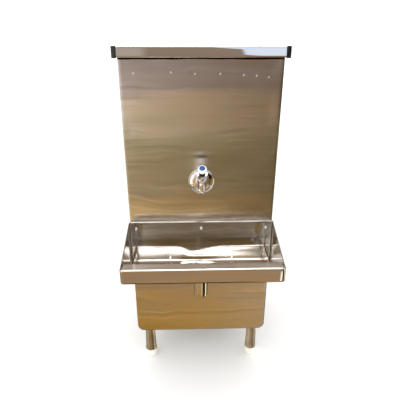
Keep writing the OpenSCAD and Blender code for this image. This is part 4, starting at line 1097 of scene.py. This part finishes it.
def tap_body():
    """Cast body: barrel on the button's axis, arm into the wall, and the shoulder over the nozzle."""
    shape = Shape()
    barrel = [(0, -14), (6, -13.6), (11, -12.4), (14.6, -9.5), (16, -6)] + [(16, t) for t in range(-3, 37, 3)]
    barrel += [(16.9, 36.6), (16.9, 39.2), (16.2, 40), (0, 40)]
    shape.lathe(millimetres(barrel), TAP_AXIS, 64)
    arm = [(0, -2), (11, -2), (11, 16), (13.2, 18), (13.2, 23), (11, 25), (11, 44), (0, 44)]
    shape.lathe(millimetres(arm), TAP_WALL, 48)
    shoulder = [(0, -9), (8.6, -9), (9.3, -3)] + arc(0, 0, 9.6, 0, 90, 6)[:-1] + [(0, 9.6)]
    shape.lathe(millimetres(shoulder), NOZZLE_AXIS, 48)
    rib = [(0, -12), (9.5, -12), (8.8, 0), (8.6, 16), (0, 16)]
    lean = Matrix.Rotation(math.radians(62), 4, "X")
    shape.lathe(millimetres(rib), Matrix.Translation((0, FRONT_Y - 66 * MM, 800 * MM)) @ lean, 48)
    skin = remeshed("tap_casting", shape, 0.7 * MM, 6)
    finish_piece("tap_casting", skin, "chrome", "cabinet", ["tap_body"], sharp=80)


def tap_nozzle():
    """Tapered outlet with a bead above its lip and an open bore."""
    shape = Shape()
    profile = [(0, -3), (4.5, -3.2), (4.5, -27.4)] + arc(5.6, -27, 1.1, 180, 360, 8)
    profile += [(7.0, -26), (7.6, -25.2), (7.6, -23.6), (7.1, -22.8)]
    profile += [(7.1 + 2.0 * i / 8, -22.8 + 22.8 * i / 8) for i in range(1, 9)] + [(0, 1)]
    shape.lathe(millimetres(profile), NOZZLE_AXIS, 64)
    finish_piece("tap_nozzle", shape, "chrome", "cabinet", sharp=50)


def tap_bonnet():
    """Hexagonal bonnet with turned chamfers, and the neck that guides the button, made black as painted shade
    under the button.
    """
    shape = Shape()
    sides = 96
    sixth = math.pi / 3
    flat, blunt = 17.5 * math.cos(sixth / 2), 17.2
    profile = [(15.4, 39.6), (15.9, 40.2), (17.6, 41.4), (18, 42), (18, 50), (18, 56.4)]
    profile += [(17.4, 57.2), (15.6, 58.4), (12, 58.8)]
    rings = []
    for limit, height in profile:
        ring = []
        for k in range(sides):
            angle = 2 * math.pi * k / sides
            off_middle = angle - sixth * round(angle / sixth)
            reach = min(flat / math.cos(off_middle), blunt, limit) * MM
            turned = angle + sixth
            ring.append(TAP_AXIS @ Vector((reach * math.cos(turned), reach * math.sin(turned), height * MM)))
        rings.append(ring)
    shape.rings(rings)
    finish_piece("tap_bonnet_nut", shape, "chrome", "cabinet", ["tap_bonnet"], sharp=25)
    # the neck is black plastic as painted shade: it stands for the shadow gap under the button
    neck = Shape()
    profile = [(12.4, 58.6), (11.9, 59.2), (11.4, 60.2), (11.4, 72.8), (10.9, 73.6)]
    profile += [(8.4, 73.8), (8.1, 73), (8.1, 57)]
    neck.lathe(millimetres(profile), TAP_AXIS, 72)
    finish_piece("tap_bonnet_neck_painted_shade", neck, "black_plastic", "cabinet")


def tap_button():
    """Push button with a soft rim, a shallow recess and a clear blue index dot on its top."""
    shape = Shape()
    profile = [(0, 81), (12, 81), (12, 73), (12.3, 72.2), (13.2, 72), (13.8, 72.4), (14, 73.2)]
    profile += [(14, t) for t in (75, 77, 79)] + arc(10.2, 80.2, 3.8, 0, 82, 9)
    profile += [(10.0, 84), (9.7, 83.6), (9.55, 82.6), (0, 82.5)]
    shape.lathe(millimetres(profile), TAP_AXIS, 72)
    finish_piece("tap_button_cap", shape, "white_plastic", "push_button", ["tap_button"], sharp=50)
    dot = Shape()
    crown = [(9.2 * math.cos(a), 83.9 + 0.8 * math.sin(a)) for a in quarter(8)[:-1]]
    dot.lathe(millimetres([(9.4, 82.6), (9.4, 83.6)] + crown + [(0, 84.7)]), TAP_AXIS, 72)
    finish_piece("tap_index_dot", dot, "blue_plastic", "push_button", ["tap_index"], sharp=50)


def tap_coil():
    """Return spring inside the bonnet."""
    shape = Shape()
    wire, mean_radius, turns, per_turn = 0.8 * MM, 5.4 * MM, 5, 20
    low, high = 56.9 * MM, 80.1 * MM
    path = []
    for i in range(turns * per_turn + 1):
        angle = 2 * math.pi * i / per_turn
        height = low + (high - low) * i / (turns * per_turn)
        around = Vector((math.cos(angle), math.sin(angle), 0)) * mean_radius
        path.append(TAP_AXIS @ (around + Vector((0, 0, height))))
    tube(shape, path, wire, 10)
    finish = SLOT_OF["tap_spring"]
    coil = finish_piece("tap_return_spring", shape, finish, "cabinet", ["tap_spring"], sharp=60)
    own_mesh(coil)


# ---------------------------------------------------------------- rear fittings


def thermostat_knob():
    """Fluted knob with a skirt and a raised pointer."""
    shape = Shape()
    low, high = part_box("thermostat_knob")
    centre = Matrix.Translation(((low.x + high.x) / 2, low.y, (low.z + high.z) / 2))
    place = centre @ FACE_BACK
    sides = 144
    profile = [(17, 0), (17, 2.6), (16.3, 3.5), (14.6, 4), (13.8, 5)]
    profile += [(13.4, 9), (13, 14), (12.2, 15.6), (11, 16)]
    rings = []
    for radius, height in profile:
        flute = 0.45 if 4.5 < height < 15 else 0.0
        ring = []
        for k in range(sides):
            angle = 2 * math.pi * k / sides
            reach = (radius + flute * math.cos(24 * angle)) * MM
            ring.append(place @ Vector((reach * math.cos(angle), reach * math.sin(angle), height * MM)))
        rings.append(ring)
    rows = shape.rings(rings)
    shape.cap(rows[0])
    shape.cap(rows[-1])
    shape.block((-0.8 * MM, -10.5 * MM, 15.5 * MM), (0.8 * MM, -2 * MM, 16.4 * MM), place)
    finish_piece("thermostat_knob_cap", shape, "black_plastic", "thermostat_dial", ["thermostat_knob"])


CORD_R = 3.75 * MM
CORD_X = -190 * MM
CORD_Y = REAR_Y + 14 * MM
CORD_STEP = 11 * MM
CORD_RUNS = 4


def cord_path():
    """From inside the bush out, up and back and forth in a flat bundle, to the plug below it."""
    turn = 10 * MM
    z = 240 * MM
    hang_low, hang_high, plug_z = 262 * MM, 420 * MM, 232 * MM
    path = [(CORD_X, REAR_Y - 30 * MM, z), (CORD_X, REAR_Y, z)]
    path += [(CORD_X, py, pz) for py, pz in arc(CORD_Y - turn, z + turn, turn, -90, 0, 8)]
    for run in range(CORD_RUNS):
        up = run % 2 == 0
        run_x = CORD_X - run * CORD_STEP
        start, end = (hang_low, hang_high) if up else (hang_high, hang_low)
        if run == CORD_RUNS - 1:
            end = plug_z
        for level in levels(0, 1, 0.08):
            sway = 0.9 * MM * math.sin(3.1 * level + 1.7 * run) * math.sin(math.pi * level)
            path.append((run_x + sway, CORD_Y, start + (end - start) * level))
        if run < CORD_RUNS - 1:
            middle = run_x - CORD_STEP / 2
            for ax, az in arc(0, 0, CORD_STEP / 2, 0, 180 if up else -180, 8)[1:-1]:
                path.append((middle + ax, CORD_Y, end + az))
    return path


def power_cord():
    """The supply cord with its bush, its plug and the tie round its bundle."""
    cord = Shape()
    tube(cord, cord_path(), CORD_R, 16)
    finish_piece("cord_bundle", cord, "black_rubber", "cabinet", ["power_cord"], sharp=60)
    bush = Shape()
    collar = [(3.75, -3), (7, -3), (9, -2.6), (9, 0), (7, 0.2), (7, 3), (6, 4.6), (4, 5)]
    bush.lathe(millimetres(collar), Matrix.Translation((CORD_X, REAR_Y, 240 * MM)) @ FACE_BACK, 48)
    finish_piece("cord_bush", bush, "black_rubber", "cabinet")
    plug_x = CORD_X - (CORD_RUNS - 1) * CORD_STEP
    plug = Shape()
    body = [(0, 186), (11, 186), (12, 187), (12, 200), (11.2, 202), (11.2, 214), (12, 216), (12, 220)]
    body += [(11, 222), (9, 223), (8.4, 226), (8.8, 227), (7.6, 230), (8, 231), (6.9, 234), (7.2, 235)]
    body += [(6, 238), (0, 238)]
    plug.lathe(millimetres(body), Matrix.Translation((plug_x, CORD_Y, 0)), 48)
    finish_piece("cord_plug", plug, "black_rubber", "cabinet")
    pins = Shape()
    for dx, dy, tip, radius in ((-6, 4, 170, 2.5), (6, 4, 170, 2.5), (0, -6, 164, 3.2)):
        pin = [(0, tip), (radius - 0.8, tip), (radius, tip + 0.8), (radius, 187), (0, 187)]
        pins.lathe(millimetres(pin), Matrix.Translation((plug_x + dx * MM, CORD_Y + dy * MM, 0)), 24)
    finish_piece("cord_plug_pins", pins, "brass", "cabinet")
    tie = Shape()
    middle_x = CORD_X - (CORD_RUNS - 1) / 2 * CORD_STEP
    end_r = CORD_R + 1 * MM
    straight = (CORD_RUNS - 1) / 2 * CORD_STEP
    loop = [(middle_x + math.copysign(straight, px) + px, CORD_Y + py) for px, py in circle(end_r, 48)]
    tie.rings([[(px, py, 330 * MM + dz) for px, py in loop] for dz in (-1.8 * MM, 1.8 * MM)])
    finish_piece("cord_tie", tie, "black_plastic", "cabinet", thickness=0.9 * MM)


# ---------------------------------------------------------------- build it

front_panel()
for sign, node in ((1, "side_panel_right"), (-1, "side_panel_left")):
    side_panel(sign, node)
rear_panel("rear_panel_lower", 20 * MM, [-62 * MM, 62 * MM], slot_rows(222 * MM))
rear_panel("rear_panel_upper", 0, [], [])
lid()
lid_caps()
tray_sheet()
tray_walls()
tray_seams()
tray_and_rear_screws()
drain_spout()
legs()
shoes()
tap_flange()
tap_body()
tap_nozzle()
tap_bonnet()
tap_button()
tap_coil()
thermostat_knob()
power_cord()


# ---------------------------------------------------------------- finishes of the nodes that stay

for node, obj in frame["nodes"].items():
    obj.data.materials.clear()
    obj.data.materials.append(MATERIALS[SLOT_OF[node]])


# ---------------------------------------------------------------- surroundings, light and camera


def zone(n, around, rise, arounds, rises, soft=(2, 3)):
    """1 for directions inside the two ranges of degrees, falling to 0 just outside them."""
    factor = n.spread(around, arounds[0] - soft[0], arounds[0])
    factor = n.math("MULTIPLY", factor, n.spread(around, arounds[1], arounds[1] + soft[0], 1, 0))
    factor = n.math("MULTIPLY", factor, n.spread(rise, rises[1], rises[1] + soft[1], 1, 0))
    return n.math("MULTIPLY", factor, n.spread(rise, rises[0] - soft[1], rises[0]))


# (degrees above the horizon, colour) of what the metal mirrors, from the ground up to a hazy skyline
GROUND = [
    (-90, "0E0A06"), (-78, "17110A"), (-66, "7A6038"), (-46, "B0883A"), (-40, "C69A4A"), (-36.5, "C49A54"),
    (-33.5, "B39478"), (-29, "BA9258"), (-25, "CCA971"), (-21, "938262"), (-16, "9C8C6C"), (-12, "A89B7D"),
    (-10.5, "B9A683"), (-9, "CFB48F"), (-7.5, "BEA793"), (-5.5, "948279"), (-1, "9C897C"), (3, "A08D83"),
    (12, "A28F7A"), (19, "936A26"), (28, "986E28"),
]
# (degrees above the horizon, colour, gain) of the brighter sky above it
SKY = [
    (32, "DCD0C2", 1.1), (38, "B29C74", 1), (44, "917B4E", 1), (50, "A08A60", 1), (56, "D0C09C", 1.05),
    (66, "E6E2D8", 1.2), (72, "C8BBA0", 1), (74, "FBFCFF", 7), (90, "FBFCFF", 7),
]
YARD = [(rise, code, 1) for rise, code in GROUND] + SKY

# (colour, gain, degrees to the right, degrees above the horizon) of brighter and darker things to either side
YARD_SIGHTS = [
    ("41331D", 1, (25.5, 76), (-62, -31)),
    ("FFF4E4", 1.5, (19, 22.5), (-62, -31)),
    ("FFF0C0", 1.5, (80, 94), (-62, -31)),
    ("3A2E1C", 1, (18, 44), (-30, -8)),
    ("FFF3DC", 1.5, (56, 86), (-30, -10)),
    ("FFF3DC", 1.5, (-82, -36), (-30, -10)),
    ("F4F0F0", 1.3, (-110, -19), (-10, 24)),
    ("FFFFFF", 1.6, (-110, -17), (24, 62)),
    ("241A10", 1, (22, 100), (-8, 14)),
    ("F2ECF2", 1.3, (22, 110), (20, 62)),
    ("C6B9B0", 1, (-28, -7.5), (1.5, 9)),
]


def mirrored_yard(n, around, rise):
    """What metal mirrors in each direction, without the sights to either side: ground, skyline and sky."""
    spot = n.add("CombineXYZ")
    n.put(spot.inputs[0], around)
    n.put(spot.inputs[1], rise)
    wobble = n.noise(spot.outputs[0], (0.05, 0.16, 1), 2.0)
    streaks = n.noise(spot.outputs[0], (0.03, 0.7, 1), 3.0)
    height = n.math("MULTIPLY_ADD", n.math("SUBTRACT", wobble, 0.5), 5.0, rise)
    brightest = max(gain for _, _, gain in YARD)
    stops = [((low + 90) / 180, rgba(code, gain / brightest)) for low, code, gain in YARD]
    yard = n.ramp(n.math("MULTIPLY_ADD", height, 1 / 180, 0.5), stops)
    tint = n.mix(n.spread(around, -13, 10), rgba("FFFFFF", 1.7), rgba("F0DFC0", 0.72))
    near_skyline = n.math("MULTIPLY", n.spread(rise, -29, -22), n.spread(rise, -5, -2, 1, 0))
    yard = n.mix(near_skyline, yard, n.mix(1.0, yard, tint, "MULTIPLY"))
    sideways = n.spread(n.math("ABSOLUTE", around), 40, 80, 0, 0.6)
    off_ground = n.math("MULTIPLY", sideways, n.spread(rise, -72, -60))
    below_sky = n.math("MULTIPLY", off_ground, n.spread(rise, 30, 50, 1, 0))
    yard = n.mix(below_sky, yard, rgba("A29A8E", 1 / brightest))
    shade = n.add("VectorMath", operation="SCALE")
    n.put(shade.inputs[0], yard)
    n.put(shade.inputs["Scale"], n.math("MULTIPLY", n.math("MULTIPLY_ADD", streaks, 0.5, 0.75), brightest))
    return shade.outputs[0]


def surroundings():
    """White studio for the eye and for soft light; metal mirrors a sunlit yard."""
    world = bpy.data.worlds.new("surroundings")
    bpy.context.scene.world = world
    world.use_nodes = True
    world.cycles.sampling_method = "NONE"
    tree = world.node_tree
    tree.nodes.clear()
    n = Nodes(tree)
    split = n.add("SeparateXYZ")
    n.put(split.inputs[0], n.add("TexCoord").outputs["Generated"])
    x, y, z = split.outputs
    rise = n.math("DEGREES", n.math("ARCSINE", z))
    around = n.math("DEGREES", n.math("ARCTAN2", x, n.math("MULTIPLY", y, -1.0)))
    seen = mirrored_yard(n, around, rise)
    for code, gain, arounds, rises in YARD_SIGHTS:
        seen = n.mix(zone(n, around, rise, arounds, rises), seen, rgba(code, gain))
    slanted = n.math("MULTIPLY_ADD", rise, 0.5, around)
    window = n.math("MULTIPLY", n.spread(slanted, 10, 10.8), zone(n, around, rise, (0, 30), (2, 20)))
    seen = n.mix(window, seen, rgba("DDEBFF", 1.35))
    is_mirrored = n.add("LightPath").outputs["Is Glossy Ray"]
    daylight = 1.35
    background = n.add("Background")
    n.put(background.inputs[0], n.mix(is_mirrored, (daylight, daylight, daylight, 1), seen))
    n.put(n.add("OutputWorld").inputs[0], background.outputs[0])


def stage():
    """Plain pale floor and one large soft light, neither of which the metal mirrors."""
    mesh = bpy.data.meshes.new("floor")
    reach = 30.0
    corners = [(-reach, -reach, 0), (reach, -reach, 0), (reach, reach, 0), (-reach, reach, 0)]
    mesh.from_pydata(corners, [], [(0, 1, 2, 3)])
    floor = bpy.data.objects.new("floor", mesh)
    bpy.context.scene.collection.objects.link(floor)
    material, n, shader, _ = new_material("pale_floor")
    n.put(shader.inputs["Base Color"], rgba("FAFAF9"))
    n.put(shader.inputs["Roughness"], 0.9)
    n.put(shader.inputs["Specular IOR Level"], 0.0)
    mesh.materials.append(material)
    floor.visible_glossy = False
    light = bpy.data.lights.new("soft_light", "AREA")
    light.size = 3.2
    light.energy = 18
    lamp = bpy.data.objects.new("soft_light", light)
    bpy.context.scene.collection.objects.link(lamp)
    lamp.location = (-1.6, -1.8, 3.0)
    target = Vector((0, 0, 0.5))
    lamp.rotation_euler = (target - lamp.location).to_track_quat("-Z", "Y").to_euler()
    lamp.visible_glossy = False


def camera():
    """Eye level at the lid, close in front and a little to the left, looking down at the cabinet."""
    data = bpy.data.cameras.new("camera")
    data.sensor_width = 36
    data.lens = 33.75
    eye = bpy.data.objects.new("camera", data)
    bpy.context.scene.collection.objects.link(eye)
    bpy.context.scene.camera = eye
    eye.location = (-37 * MM, FRONT_Y - 1.189, cad_high.z)
    pitch, yaw = math.radians(-22.35), math.radians(1.56)
    ahead = Vector((math.sin(yaw) * math.cos(pitch), math.cos(yaw) * math.cos(pitch), math.sin(pitch)))
    eye.rotation_mode = "QUATERNION"
    eye.rotation_quaternion = ahead.to_track_quat("-Z", "Y")


surroundings()
stage()
camera()
bpy.context.scene.view_settings.view_transform = "Standard"
